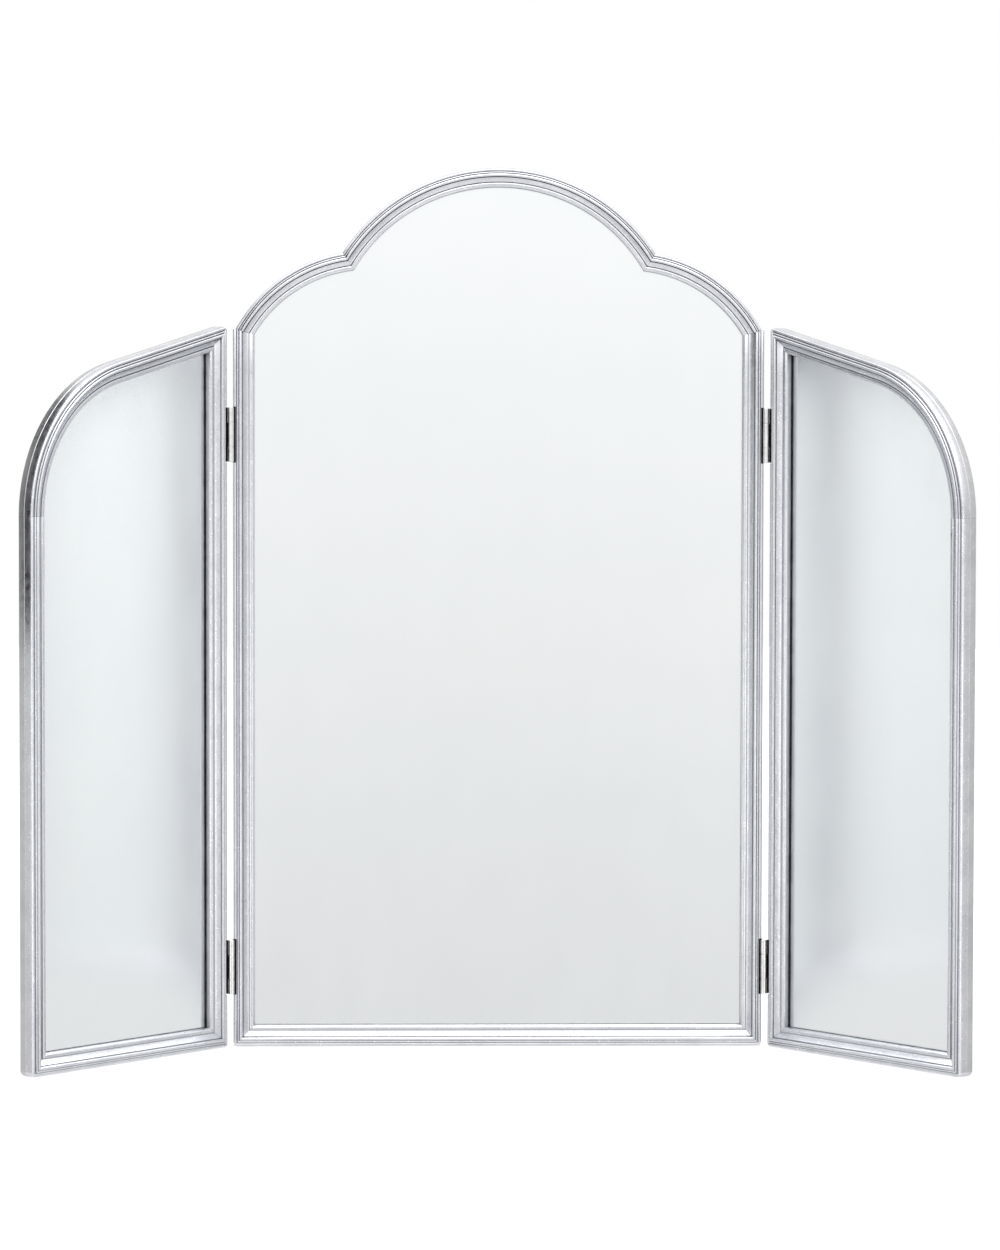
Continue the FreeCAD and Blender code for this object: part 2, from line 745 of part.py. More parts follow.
def leaf_screws(name, template, axis, toward, heights):
    """The screws of the leaves on one edge, through the leaf at toward's side of the pin."""
    turn = FreeCAD.Rotation(FreeCAD.Vector(0, 0, 1), 90 - 90 * toward)
    return copies(name, template, [
        ((f"{axis[0]} + {toward} * (axis_gap - leaf_thickness)", f"{axis[1]} + leaf_screw_back",
          f"{height} + {sign} * leaf_screw_out"), turn)
        for height in heights for sign in (-1, 1)])


def clip_groups(panel, spots, seam, clip_template, screw_template):
    """The clips round one panel's board, and their screws."""
    back = f"{seam} + strip_thickness"
    clips = copies(f"{panel}_board_clips", clip_template, [
        ((x, back, z), FreeCAD.Rotation(FreeCAD.Vector(0, -1, 0), reading(aim))) for x, z, aim in spots])
    screws = copies(f"{panel}_clip_screws", screw_template, [
        ((x, f"{back} + clip_thickness", z), FreeCAD.Rotation()) for x, z, _ in spots])
    return [clips, screws]


# ---------------------------------------------------------------- assembly

def build_centre(templates):
    members = [("bottom", None, centre_bottom), ("crest", None, centre_crest)]
    for side in SIDE_NAMES:
        members += [("stile", side, centre_stile), ("shoulder", side, centre_shoulder)]
    nodes, all_spots = [], []
    for member, side, make in members:
        which = () if side is None else (side,)
        moulding = make("moulding", *which)
        strip = make("rear_strip", *which)
        spots = centre_clip_spots(member, side)
        clip_screw_holes(strip, spots, "0")
        if member == "stile":
            cut_for_hinges(moulding, f"{side} * panel_half_width", -side, "0")
        nodes += [moulding, strip]
        all_spots += spots
    nodes.append(centre_pane("centre_mirror_glass", "0", "glass_thickness"))
    nodes.append(centre_pane("centre_backing_board", "glass_thickness", "board_thickness"))
    nodes += clip_groups("centre", all_spots, "0", templates["clip"], templates["clip_screw"])
    return nodes


def build_wing(side, templates):
    panel = f"{SIDE_NAMES[side]}_wing"
    nodes, all_spots = [], []
    for member, make in (("bottom", wing_bottom), ("hinge_stile", wing_hinge_stile),
                         ("outer_stile", wing_outer_stile), ("top", wing_top)):
        moulding = make("moulding", side)
        strip = make("rear_strip", side)
        spots = wing_clip_spots(member, side)
        clip_screw_holes(strip, spots, "axis_forward")
        if member == "hinge_stile":
            cut_for_hinges(moulding, wing_x(side, "0"), side, "axis_forward")
        nodes += [moulding, strip]
        all_spots += spots
    nodes.append(wing_pane(f"{panel}_mirror_glass", side, "axis_forward", "glass_thickness"))
    nodes.append(wing_pane(f"{panel}_backing_board", side, "axis_forward + glass_thickness",
                           "board_thickness"))
    nodes += clip_groups(panel, all_spots, "axis_forward", templates["clip"], templates["clip_screw"])
    nodes.append(leaf_screws(f"{SIDE_NAMES[side]}_hinge_wing_screws", templates["hinge_screw"],
                             ("0", "0"), side, HINGE_HEIGHTS.values()))
    for node in nodes:
        put_on_wing(node, side)
    return nodes


def build_hinges(side, templates):
    end, middle = "hinge_length / 2", "middle_knuckle / 2"
    nodes = [leaf_screws(f"{SIDE_NAMES[side]}_hinge_frame_screws", templates["hinge_screw"],
                         hinge_axis(side), -side, HINGE_HEIGHTS.values())]
    for place, height in HINGE_HEIGHTS.items():
        hinge = f"{SIDE_NAMES[side]}_{place}_hinge"
        frame_leaf = hinge_leaf(f"{hinge}_frame_leaf", -side,
                                [(f"-({middle} + knuckle_play)", f"{middle} + knuckle_play")])
        put_on_axis(frame_leaf, side, height)
        wing_leaf = hinge_leaf(f"{hinge}_wing_leaf", side,
                               [(f"-({end} + 1)", f"-({middle})"), (middle, f"{end} + 1")])
        put_on_wing(wing_leaf, side, height)
        pin = hinge_pin(f"{hinge}_pin")
        put_on_axis(pin, side, f"{height} - {end}")
        nodes += [frame_leaf, wing_leaf, pin]
    return nodes


def check(nodes):
    """Stop if anything in the document has failed, or a node's shape is empty or broken."""
    for thing in doc.Objects:
        if "Invalid" in thing.State or "Error" in thing.State:
            raise RuntimeError(f"{thing.Label}: {thing.State}")
    for node in nodes:
        if node.Shape.isNull() or not node.Shape.isValid() or not node.Shape.Solids:
            raise RuntimeError(f"{node.Label}: no sound solid")


templates = {make.__name__: make() for make in (hinge_screw, clip_screw, clip)}
nodes = build_centre(templates)
for side in SIDE_NAMES:
    nodes += build_wing(side, templates)
    nodes += build_hinges(side, templates)
doc.recompute()
check(nodes)
os.makedirs("parts", exist_ok=True)
for node in nodes:
    node.Shape.exportStep(f"parts/{node.Label}.step")
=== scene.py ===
"""Looks of the trifold vanity mirror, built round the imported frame.

Lengths of the object and the camera's place are in millimetres until a mesh or a matrix is made;
the lamps, the floor, the card and the camera's far clip are in metres. A wing is drawn in a frame
of its own, whose Z axis is its hinge axis. "across" runs in from a panel's outer edge, and "up"
stands forward of the seam between the mouldings and the rear strips.
"""
import math
import bmesh
import bpy
from mathutils import Matrix, Vector


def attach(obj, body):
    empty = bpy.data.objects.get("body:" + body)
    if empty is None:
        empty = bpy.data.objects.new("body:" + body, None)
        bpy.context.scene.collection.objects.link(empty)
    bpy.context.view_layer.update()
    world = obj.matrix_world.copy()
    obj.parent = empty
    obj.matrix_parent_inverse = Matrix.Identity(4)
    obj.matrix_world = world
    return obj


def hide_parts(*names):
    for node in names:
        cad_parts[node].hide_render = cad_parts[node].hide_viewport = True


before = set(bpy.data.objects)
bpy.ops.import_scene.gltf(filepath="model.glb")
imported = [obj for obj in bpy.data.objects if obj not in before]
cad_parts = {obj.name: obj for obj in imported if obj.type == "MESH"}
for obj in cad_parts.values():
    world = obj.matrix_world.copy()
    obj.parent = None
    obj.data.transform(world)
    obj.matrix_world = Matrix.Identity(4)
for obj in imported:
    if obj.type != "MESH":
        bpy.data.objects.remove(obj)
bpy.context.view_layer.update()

MM = 0.001
SIDES = {"left": -1, "right": 1}
FOLDS = {"left": 48.0, "right": 51.0}

# centre panel
HALF_WIDTH = 191.0
CREST_RADIUS, CREST_CENTRE = 134.4, (0.0, 498.3)
SHOULDER_RADIUS, SHOULDER_OUT, SHOULDER_HEIGHT = 109.3, 93.5, 464.2
SHOULDER_MITRE_RISE = 3.6
# wings
WING_WIDTH, WING_TOP, WING_SLOPE, WING_CORNER = 190.4, 519.5, 0.262, 110.5
WING_STRETCH = math.hypot(1, WING_SLOPE)
WING_TILT = math.atan(WING_SLOPE)
CORNER_OUT = WING_WIDTH - WING_CORNER
CORNER_HEIGHT = WING_TOP - WING_SLOPE * CORNER_OUT - WING_CORNER * WING_STRETCH
CORNER_CUT = 3.2
# divisions along the members
RAIL_DIVISIONS, WING_DIVISIONS = 8, 6
CREST_DIVISIONS, SHOULDER_DIVISIONS, CORNER_DIVISIONS = 49, 44, 64
# rough lengths of members, which only place the rows beside their ends
STILE_RUN, OUTER_STILE_RUN, WING_TOP_RUN = 510, 380, 160
END_EASE, END_RUN = 0.14, 0.25
# sections; a point on the moulding's face is (share of the width, up)
MOULDING_WIDTH, ARC_WIDTH = 15.2, 13.4
STRIP_WIDTH, STRIP_THICKNESS, STRIP_ROUND = 10.0, 6.2, 1.0
GLASS_INSET, GLASS_THICKNESS, MIRROR_DEPTH = 10.4, 3.0, 1.2
SIDE_TOP, EASE = 2.6, 0.3
OUTER_BEAD, OUTER_GROOVE = (0.095, 7.05), (0.19, 6.4)
THIN_BEAD, THIN_GROOVE = (0.24, 7.9), (0.29, 7.3)
MAIN_BEAD, MAIN_GROOVE = (0.38, 8.6), (0.475, 6.5)
COVE_TOP, COVE_FOOT, COVE_CURVE = (0.50, 6.9), (0.76, 4.2), 1.6
LIP_CROWN, LIP_NOSE = (0.87, 4.8), (1.0, 3.1)
BEAD_STEPS, THIN_BEAD_STEPS, COVE_EDGE_STEPS, COVE_STEPS, STRIP_ROUND_STEPS = 7, 5, 3, 10, 5
EASED_ABOVE = 1.0
# for each of the grooves: its share of the width, and how dark the painted shade in it is
GROOVES = ((OUTER_GROOVE[0], 0.45), (THIN_GROOVE[0], 0.5), (MAIN_GROOVE[0], 1.0), (COVE_FOOT[0], 0.9))
GROOVE_HALF, GROOVE_REACH = 0.02, 0.03
# how dark the painted shade is on the lip's edge and at the lip's foot
LIP_EDGE_SHADE, LIP_FOOT_SHADE = 0.35, 1.0
# on members that bend, the grooves are cut deeper and given darker painted shade
BENT_GROOVES = {"groove_depth": 0.6, "groove_reach": 0.034, "least_shade": 0.85}
# hinges
AXIS_GAP, AXIS_FORWARD = 1.0, 9.1
HINGE_HEIGHTS = {"lower": 58.0, "upper": 441.4}
HINGE_LENGTH, MIDDLE_KNUCKLE, KNUCKLE_PLAY = 39.0, 17.6, 0.15
BARREL_RADIUS, PIN_RADIUS = 2.15, 1.1
LEAF_THICKNESS, LEAF_DEPTH, LEAF_NOTCH = 0.8, 10.4, 2.45
LEAF_SCREW_BACK, LEAF_SCREW_OUT = 7.2, 13.0
LEAF_SCREW_RADIUS, LEAF_HEAD_RADIUS, LEAF_HEAD_RIM, LEAF_SCREW_LENGTH = 1.1, 1.85, 0.06, 9.0
LEAF_ROOT_GAP, LEAF_CORNER, LEAF_EDGE, LEAF_SINK_PLAY, LEAF_HOLE_PLAY = 0.1, 0.9, 0.08, 0.05, 0.08
BORE_PLAY, KNUCKLE_EASE, KNUCKLE_STEPS = 0.05, 0.18, 48
PIN_INSET, PIN_DOME, PIN_DOME_STEPS, PIN_STEPS = 0.05, 0.35, 4, 32
RECESS_WIDTH, RECESS_FLOOR, RECESS_HALF, RECESS_STEP = 2.2, 5.0, HINGE_LENGTH / 2 + 0.6, 0.001
# clips
CLIP_LENGTH, CLIP_WIDTH, CLIP_THICKNESS, CLIP_HOLE_INSET = 14.0, 8.0, 0.8, 4.0
CLIP_SCREW_RADIUS, CLIP_HEAD_RADIUS, CLIP_HEAD_HEIGHT, CLIP_SCREW_LENGTH = 1.1, 2.5, 1.5, 4.6
CLIP_CORNER, CLIP_EDGE, CLIP_HOLE_PLAY = 1.2, 0.12, 0.25
CLIP_LOW, CLIP_MIDDLE, CLIP_HIGH = 120.0, 300.0, 400.0
RIB_START, RIB_END_GAP, RIB_HALF, RIB_ROUND, RIB_FOOT, RIB_RISE = 3.4, 1.2, 0.9, 0.85, 0.3, 0.2
RIB_TOP_LENGTH, RIB_TOP_WIDTH = 0.86, 0.55
# screws; a cross recess is (reach of an arm, half its width, depth)
LEAF_CROSS, CLIP_CROSS = (1.15, 0.24, 0.7), (1.35, 0.3, 0.95)
CROSS_FLOOR_REACH, CROSS_FLOOR_HALF = 0.6, 0.7
DOME_FLAT, DOME_SIDE, DOME_EASE, DOME_STEPS = 1.7, 0.35, 0.08, 6
THREAD_PITCH, THREAD_ROOT, THREAD_FLANK = 0.9, 0.78, 0.35
THREAD_END, TIP_LENGTH = 1.2, 1.0
SCREW_STEPS, HOLE_STEPS = 32, 24
SCREW_TURN = 1.1


# ---------------------------------------------------------------- outlines and sections

def cross_circles(inset):
    """Where the right shoulder's arc meets the crest's, both drawn in by inset."""
    drop = CREST_CENTRE[1] - SHOULDER_HEIGHT
    apart = SHOULDER_OUT ** 2 + drop ** 2
    crest, shoulder = (CREST_RADIUS - inset) ** 2, (SHOULDER_RADIUS - inset) ** 2
    share = (crest - shoulder + apart) / (2 * apart)
    reach = math.sqrt(crest / apart - share ** 2)
    return (share * SHOULDER_OUT + reach * drop,
            CREST_CENTRE[1] - share * drop + reach * SHOULDER_OUT)


def on_arc(centre, radius, angle):
    return centre[0] + radius * math.cos(angle), centre[1] + radius * math.sin(angle)


def quarter(start, end, steps, upright_first):
    """A quarter of an ellipse from start to end, without start. It sets out upright or level."""
    points = []
    for step in range(1, steps + 1):
        turn = step / steps * math.pi / 2
        along, up = math.sin(turn), 1 - math.cos(turn)
        if upright_first:
            along, up = 1 - math.cos(turn), math.sin(turn)
        points.append((start[0] + (end[0] - start[0]) * along, start[1] + (end[1] - start[1]) * up))
    return points


def bead(points, crown, foot, steps=BEAD_STEPS):
    """Add a round bead to the section: up to its crown, and down to its foot."""
    points += quarter(points[-1], crown, steps, True)
    points += quarter(crown, foot, steps, False)


def moulding_section(width):
    """The reeded section as (across, up, share of the width)."""
    points = [(EASE / width, 0), (0, EASE), (0, SIDE_TOP)]
    bead(points, OUTER_BEAD, OUTER_GROOVE)
    bead(points, THIN_BEAD, THIN_GROOVE, THIN_BEAD_STEPS)
    bead(points, MAIN_BEAD, MAIN_GROOVE)
    points += quarter(MAIN_GROOVE, COVE_TOP, COVE_EDGE_STEPS, True)
    for step in range(1, COVE_STEPS + 1):
        share = step / COVE_STEPS
        points.append((COVE_TOP[0] + (COVE_FOOT[0] - COVE_TOP[0]) * share,
                       COVE_FOOT[1] + (COVE_TOP[1] - COVE_FOOT[1]) * (1 - share) ** COVE_CURVE))
    bead(points, LIP_CROWN, LIP_NOSE)
    points.append((1.0, 0))
    return [(share * width, up, share) for share, up in points]


def strip_section(_):
    """A rear strip's section. Its rear outer edge is round, and its front outer edge is eased."""
    points = [(EASE, 0), (STRIP_WIDTH, 0), (STRIP_WIDTH, -STRIP_THICKNESS),
              (STRIP_ROUND, -STRIP_THICKNESS)]
    points += quarter(points[-1], (0, STRIP_ROUND - STRIP_THICKNESS), STRIP_ROUND_STEPS, False)
    points.append((0, -EASE))
    return [(across, up, 0.0) for across, up in points]


# ---------------------------------------------------------------- meshes

SHARP_ANGLE = math.radians(35)
SAW_TOLERANCE = 1e-5


def wall(bm, ring, following):
    """Faces between two closed rings of the same number of points."""
    for index in range(len(ring)):
        after = (index + 1) % len(ring)
        bm.faces.new((ring[index], ring[after], following[after], following[index]))


def finish_piece(name, bm, material, body, slot, nodes, place=Matrix()):
    """Make a mesh a piece: name it, give it its material, and let it ride in place of its nodes."""
    bmesh.ops.recalc_face_normals(bm, faces=bm.faces[:])
    mesh = bpy.data.meshes.new(name)
    bm.to_mesh(mesh)
    bm.free()
    mesh.transform(place @ Matrix.Scale(MM, 4))
    for face in mesh.polygons:
        face.use_smooth = True
    mesh.set_sharp_from_angle(angle=SHARP_ANGLE)
    mesh.materials.append(material)
    obj = bpy.data.objects.new(name, mesh)
    bpy.context.scene.collection.objects.link(obj)
    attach(obj, body)
    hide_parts(*nodes)


def groove_shade_tone(share, up, reach, least_shade):
    """How dark the painted shade is at a share of the width: it is painted darkest in the grooves and at
    the lip's foot.
    """
    if share == 0:
        return 0.0
    if share == 1:
        return LIP_FOOT_SHADE if up <= 0 else LIP_EDGE_SHADE
    return max(0.0, *(max(dark, least_shade) * (1 - abs(share - groove_share) / reach)
                      for groove_share, dark in GROOVES))


def loft(section, rows, seam, groove_depth=0.0, groove_reach=GROOVE_REACH, least_shade=0.0):
    """A closed solid through rows. Each row is (curve, share along it, recessed, ease).

    The grooves can be cut deeper by groove_depth. Their painted shade is never lighter than the least shade
    given, and it fades out over groove_reach. The paint reads its painted shade and its mitres from
    attributes of the points."""
    bm = bmesh.new()
    groove_shade = bm.verts.layers.float.new("groove_shade")
    mitre = bm.verts.layers.float.new("mitre")
    recess_shade = bm.verts.layers.float.new("recess_shade")
    rings = []
    for curve, along, recessed, ease in rows:
        ring = []
        for across, up, share in section:
            x, z = curve(across, along)
            near = min(abs(share - groove_share) for groove_share, _ in GROOVES)
            if share:
                up -= groove_depth * max(0.0, 1 - near / GROOVE_HALF)
            in_recess = recessed and across < RECESS_WIDTH and up > RECESS_FLOOR
            if in_recess:
                up = RECESS_FLOOR
            if up > EASED_ABOVE:
                up -= ease
            vert = bm.verts.new((x, seam - up, z))
            # painted shade in the grooves and on the lip
            vert[groove_shade] = groove_shade_tone(share, up, groove_reach, least_shade)
            vert[mitre] = 1.0 if ease else 0.0
            # painted shade in the hinge recesses
            vert[recess_shade] = 1.0 if in_recess else 0.0
            ring.append(vert)
        rings.append(ring)
    for ring, following in zip(rings, rings[1:]):
        wall(bm, ring, following)
    bm.faces.new(rings[0])
    bm.faces.new(rings[-1][::-1])
    return bm


def saw_off(bm, start, end, waste):
    """Cut a solid along the line from start to end, both (x, z), and cap it."""
    line = Vector((end[0] - start[0], 0, end[1] - start[1]))
    normal = Vector((line.z, 0, -line.x)).normalized()
    if normal.x * waste[0] + normal.z * waste[1] < 0:
        normal = -normal
    cut = bmesh.ops.bisect_plane(bm, geom=bm.verts[:] + bm.edges[:] + bm.faces[:],
                                 dist=SAW_TOLERANCE, plane_co=(start[0], 0, start[1]),
                                 plane_no=normal, clear_outer=True)
    edges = [part for part in cut["geom_cut"] if isinstance(part, bmesh.types.BMEdge)]
    bmesh.ops.holes_fill(bm, edges=edges, sides=0)


def run_rows(curves, length):
    """Rows along curves end to end, each (curve, divisions), eased at both ends of the length."""
    rows = []
    small = END_RUN / length
    for number, (curve, divisions) in enumerate(curves):
        first, last = number == 0, number == len(curves) - 1
        shares = [step / divisions for step in range(0 if first else 1, divisions + 1)]
        if first:
            shares.insert(1, small)
        if last:
            shares.insert(-1, 1 - small)
        for share in shares:
            end = (first and share == 0) or (last and share == 1)
            rows.append((curve, share, False, END_EASE if end else 0.0))
    return rows


def line_curve(start, end):
    """A straight run whose ends both depend on how far across the section a point is."""
    def curve(across, along):
        (x0, z0), (x1, z1) = start(across), end(across)
        return x0 + (x1 - x0) * along, z0 + (z1 - z0) * along
    return curve


def arc_curve(centre, radius, start, end):
    """A bend between two angles that both depend on how far across the section a point is."""
    def curve(across, along):
        angle = start(across) + (end(across) - start(across)) * along
        return on_arc(centre, radius - across, angle)
    return curve


def upright_rows(outer, inward, low, high, hinged, length):
    """Rows up a stile, stepped down into the recesses for the hinges."""
    def at(height):
        return lambda across: (outer + inward * across, height(across))
    if not hinged:
        return run_rows([(line_curve(at(low), at(high)), WING_DIVISIONS)], length)
    stops = []
    for height in HINGE_HEIGHTS.values():
        stops += [height - RECESS_HALF, height + RECESS_HALF]
    marks = [low] + [lambda across, stop=stop: stop for stop in stops] + [high]
    rows = []
    for number, (start, end) in enumerate(zip(marks, marks[1:])):
        recessed = number % 2 == 1
        curve = line_curve(at(start), at(end))
        shares = [0, 0.5, 1]
        if number == 0:
            shares = [0, END_RUN / stops[0], 0.5, 1]
        if number == len(marks) - 2:
            shares = [0, 0.5, 1 - END_RUN / (length - stops[-1]), 1]
        if recessed:
            shares[0], shares[-1] = RECESS_STEP, 1 - RECESS_STEP
        for share in shares:
            end_row = (number == 0 and share == 0) or (number == len(marks) - 2 and share == 1)
            rows.append((curve, share, recessed, END_EASE if end_row else 0.0))
    return rows


# ---------------------------------------------------------------- members of the panels

def angle_at(centre, point):
    return math.atan2(point[1] - centre[1], point[0] - centre[0])


def shoulder_foot():
    inner = HALF_WIDTH - MOULDING_WIDTH - SHOULDER_OUT
    return SHOULDER_HEIGHT + math.sqrt((SHOULDER_RADIUS - ARC_WIDTH) ** 2 - inner ** 2)


def stile_top(across):
    return shoulder_foot() + SHOULDER_MITRE_RISE * (1 - across / MOULDING_WIDTH)


HALVINGS = 40


def shoulder_foot_angle(across):
    """The angle at which a shoulder's arc, drawn in by across, meets the saw line at its foot."""
    radius = SHOULDER_RADIUS - across
    low, high = 0.0, math.pi / 2
    for _ in range(HALVINGS):
        middle = (low + high) / 2
        x, z = on_arc((SHOULDER_OUT, SHOULDER_HEIGHT), radius, middle)
        if z < stile_top(HALF_WIDTH - x):
            low = middle
        else:
            high = middle
    return low


def centre_members():
    """Every member of the centre panel: name, width of its section, and its rows."""
    half = HALF_WIDTH
    bottom = line_curve(lambda across: (-half + across, across), lambda across: (half - across, across))
    yield "bottom", MOULDING_WIDTH, run_rows([(bottom, RAIL_DIVISIONS)], 2 * half)
    crest_end = lambda across: angle_at(CREST_CENTRE, cross_circles(across))
    crest = arc_curve(CREST_CENTRE, CREST_RADIUS, lambda across: math.pi - crest_end(across), crest_end)
    yield "crest", ARC_WIDTH, run_rows([(crest, CREST_DIVISIONS)], 2 * CREST_RADIUS)
    for name, side in SIDES.items():
        outer = side * half
        yield f"{name}_stile", MOULDING_WIDTH, upright_rows(
            outer, -side, lambda across: across, stile_top, True, STILE_RUN)
        centre = (SHOULDER_OUT, SHOULDER_HEIGHT)
        right_arc = arc_curve(centre, SHOULDER_RADIUS, shoulder_foot_angle,
                              lambda across: angle_at(centre, cross_circles(across)))
        mirrored = lambda across, along, side=side: (side * right_arc(across, along)[0],
                                                     right_arc(across, along)[1])
        yield f"{name}_shoulder", ARC_WIDTH, run_rows([(mirrored, SHOULDER_DIVISIONS)], SHOULDER_RADIUS)


def wing_top_edge(across):
    """The height of a wing's top on the mitre over its hinge stile."""
    return WING_TOP - across * (WING_SLOPE + WING_STRETCH)


def wing_members(side):
    """Every member of a wing, in the wing's own frame: name, width of its section, and its rows."""
    def out(across):
        return side * (AXIS_GAP + across)

    def flip(curve):
        return lambda across, along: (side * (AXIS_GAP + curve(across, along)[0]),
                                      curve(across, along)[1])
    bottom = line_curve(lambda across: (across, across), lambda across: (WING_WIDTH - across, across))
    yield "bottom", MOULDING_WIDTH, run_rows([(flip(bottom), WING_DIVISIONS)], WING_WIDTH)
    yield "hinge_stile", MOULDING_WIDTH, upright_rows(
        out(0), side, lambda across: across, wing_top_edge, True, STILE_RUN)
    yield "outer_stile", MOULDING_WIDTH, upright_rows(
        out(WING_WIDTH), -side, lambda across: across, lambda across: CORNER_HEIGHT, False,
        OUTER_STILE_RUN)
    corner = (CORNER_OUT, CORNER_HEIGHT)
    start = lambda across: (across, wing_top_edge(across))
    bend = lambda across: on_arc(corner, WING_CORNER - across, math.pi / 2 - WING_TILT)
    arc = arc_curve(corner, WING_CORNER, lambda across: math.pi / 2 - WING_TILT, lambda across: 0.0)
    slope = line_curve(start, bend)
    yield "top", MOULDING_WIDTH, run_rows(
        [(flip(slope), WING_DIVISIONS), (flip(arc), CORNER_DIVISIONS)], WING_TOP_RUN)


def wing_place(name):
    """Where a wing's own frame sits on the object, in metres, folded as at rest."""
    side = SIDES[name]
    axis = Vector((side * (HALF_WIDTH + AXIS_GAP), -AXIS_FORWARD, 0)) * MM
    return Matrix.Translation(axis) @ Matrix.Rotation(math.radians(-side * FOLDS[name]), 4, "Z")


def cut_corners(bm, corners):
    """Saw off lower corners, each (outer edge, the way in from it)."""
    for outer, inward in corners:
        saw_off(bm, (outer + inward * CORNER_CUT, 0), (outer, CORNER_CUT), (-inward, -1))


def build_members(materials):
    sections = {"moulding": moulding_section, "rear_strip": strip_section}
    slots = {"moulding": "silver_moulding", "rear_strip": "painted_back"}
    corners = [(side * HALF_WIDTH, -side) for side in SIDES.values()]
    for member, width, rows in centre_members():
        bent = member == "crest" or member.endswith("shoulder")
        for layer, section in sections.items():
            bm = loft(section(width), rows, 0.0, **(BENT_GROOVES if bent else {}))
            if member == "bottom":
                cut_corners(bm, corners)
            elif member.endswith("stile"):
                cut_corners(bm, [corners[0] if member.startswith("left") else corners[1]])
            cad_node = f"centre_{member}_{layer}"
            finish_piece("fine_" + cad_node, bm, materials[slots[layer]], "centre_panel",
                         slots[layer], [cad_node])
    for name, side in SIDES.items():
        hinge_edge, outer_edge = side * AXIS_GAP, side * (AXIS_GAP + WING_WIDTH)
        for member, width, rows in wing_members(side):
            bent = member == "top"
            for layer, section in sections.items():
                bm = loft(section(width), rows, AXIS_FORWARD, **(BENT_GROOVES if bent else {}))
                if member in ("bottom", "hinge_stile"):
                    cut_corners(bm, [(hinge_edge, side)])
                if member in ("bottom", "outer_stile"):
                    cut_corners(bm, [(outer_edge, -side)])
                if member in ("hinge_stile", "top"):
                    saw_off(bm, (hinge_edge, WING_TOP - CORNER_CUT),
                            (hinge_edge + side * CORNER_CUT, WING_TOP - WING_SLOPE * CORNER_CUT),
                            (-side, 1))
                cad_node = f"{name}_wing_{member}_{layer}"
                finish_piece("fine_" + cad_node, bm, materials[slots[layer]], f"{name}_wing",
                             slots[layer], [cad_node], wing_place(name))


# ---------------------------------------------------------------- mirrors and boards

PANE_STEPS = 48


def centre_outline(inset):
    """The centre panel's outline drawn in by inset, from its lower left corner round."""
    half = HALF_WIDTH - inset
    points = [(-half, inset), (half, inset)]
    centre = (SHOULDER_OUT, SHOULDER_HEIGHT)
    notch = cross_circles(inset)
    foot = math.acos((half - SHOULDER_OUT) / (SHOULDER_RADIUS - inset))
    top = angle_at(centre, notch)
    right = [on_arc(centre, SHOULDER_RADIUS - inset, foot + (top - foot) * step / PANE_STEPS)
             for step in range(PANE_STEPS + 1)]
    start = angle_at(CREST_CENTRE, notch)
    crest = [on_arc(CREST_CENTRE, CREST_RADIUS - inset, start + (math.pi - 2 * start) * step / PANE_STEPS)
             for step in range(1, PANE_STEPS)]
    return points + right + crest + [(-x, z) for x, z in reversed(right)]


def wing_outline(inset, side):
    """A wing's outline drawn in by inset, in the wing's own frame."""
    corner = (CORNER_OUT, CORNER_HEIGHT)
    points = [(inset, inset), (WING_WIDTH - inset, inset)]
    top = math.pi / 2 - WING_TILT
    points += [on_arc(corner, WING_CORNER - inset, top * step / PANE_STEPS)
               for step in range(PANE_STEPS + 1)]
    points.append((inset, wing_top_edge(inset)))
    return [(side * (AXIS_GAP + x), z) for x, z in points]


def sheet(outline, front, back):
    """A flat sheet with the given outline, between two places in depth."""
    bm = bmesh.new()
    rings = [[bm.verts.new((x, y, z)) for x, z in outline] for y in (front, back)]
    wall(bm, *rings)
    for ring in rings:
        bm.faces.new(ring)
    return bm


def build_panes(materials):
    panels = [("centre", "centre_panel", centre_outline(GLASS_INSET), 0.0, Matrix())]
    for name, side in SIDES.items():
        panels.append((f"{name}_wing", f"{name}_wing", wing_outline(GLASS_INSET, side), AXIS_FORWARD,
                       wing_place(name)))
    for panel, body, outline, seam, place in panels:
        mirror = sheet(outline, seam + MIRROR_DEPTH, seam + GLASS_THICKNESS)
        finish_piece(f"fine_{panel}_mirror_glass", mirror, materials["mirror"], body, "mirror",
                     [f"{panel}_mirror_glass"], place)
        board = sheet(outline, seam + GLASS_THICKNESS, seam + STRIP_THICKNESS)
        finish_piece(f"fine_{panel}_backing_board", board, materials["hardboard"], body, "hardboard",
                     [f"{panel}_backing_board"], place)


# ---------------------------------------------------------------- small turned and cut shapes

def add_shape(bm, shape, place):
    """Put a copy of a small solid into a mesh."""
    mesh = bpy.data.meshes.new("shape")
    shape.to_mesh(mesh)
    mesh.transform(place)
    bm.from_mesh(mesh)
    bpy.data.meshes.remove(mesh)


def circle(centre, radius, steps, height):
    return [(*on_arc(centre, radius, 2 * math.pi * step / steps), height) for step in range(steps)]


def turned(profile, steps, closed):
    """A solid turned about Z. Its profile is (radius, height), and a radius of 0 makes a pole."""
    bm = bmesh.new()
    rings = []
    for radius, height in profile:
        if radius == 0:
            rings.append([bm.verts.new((0, 0, height))])
        else:
            rings.append([bm.verts.new(point) for point in circle((0, 0), radius, steps, height)])
    pairs = list(zip(rings, rings[1:] + rings[:1])) if closed else list(zip(rings, rings[1:]))
    for ring, following in pairs:
        for index in range(steps):
            after = (index + 1) % steps
            corners = [ring[index % len(ring)], ring[after % len(ring)],
                       following[after % len(following)], following[index % len(following)]]
            distinct = list(dict.fromkeys(corners))
            if len(distinct) > 2:
                bm.faces.new(distinct)
    return bm


def loop_of(bm, points):
    """A closed loop of edges through 3-D points."""
    verts = [bm.verts.new(point) for point in points]
    edges = [bm.edges.new((vert, after)) for vert, after in zip(verts, verts[1:] + verts[:1])]
    return verts, edges


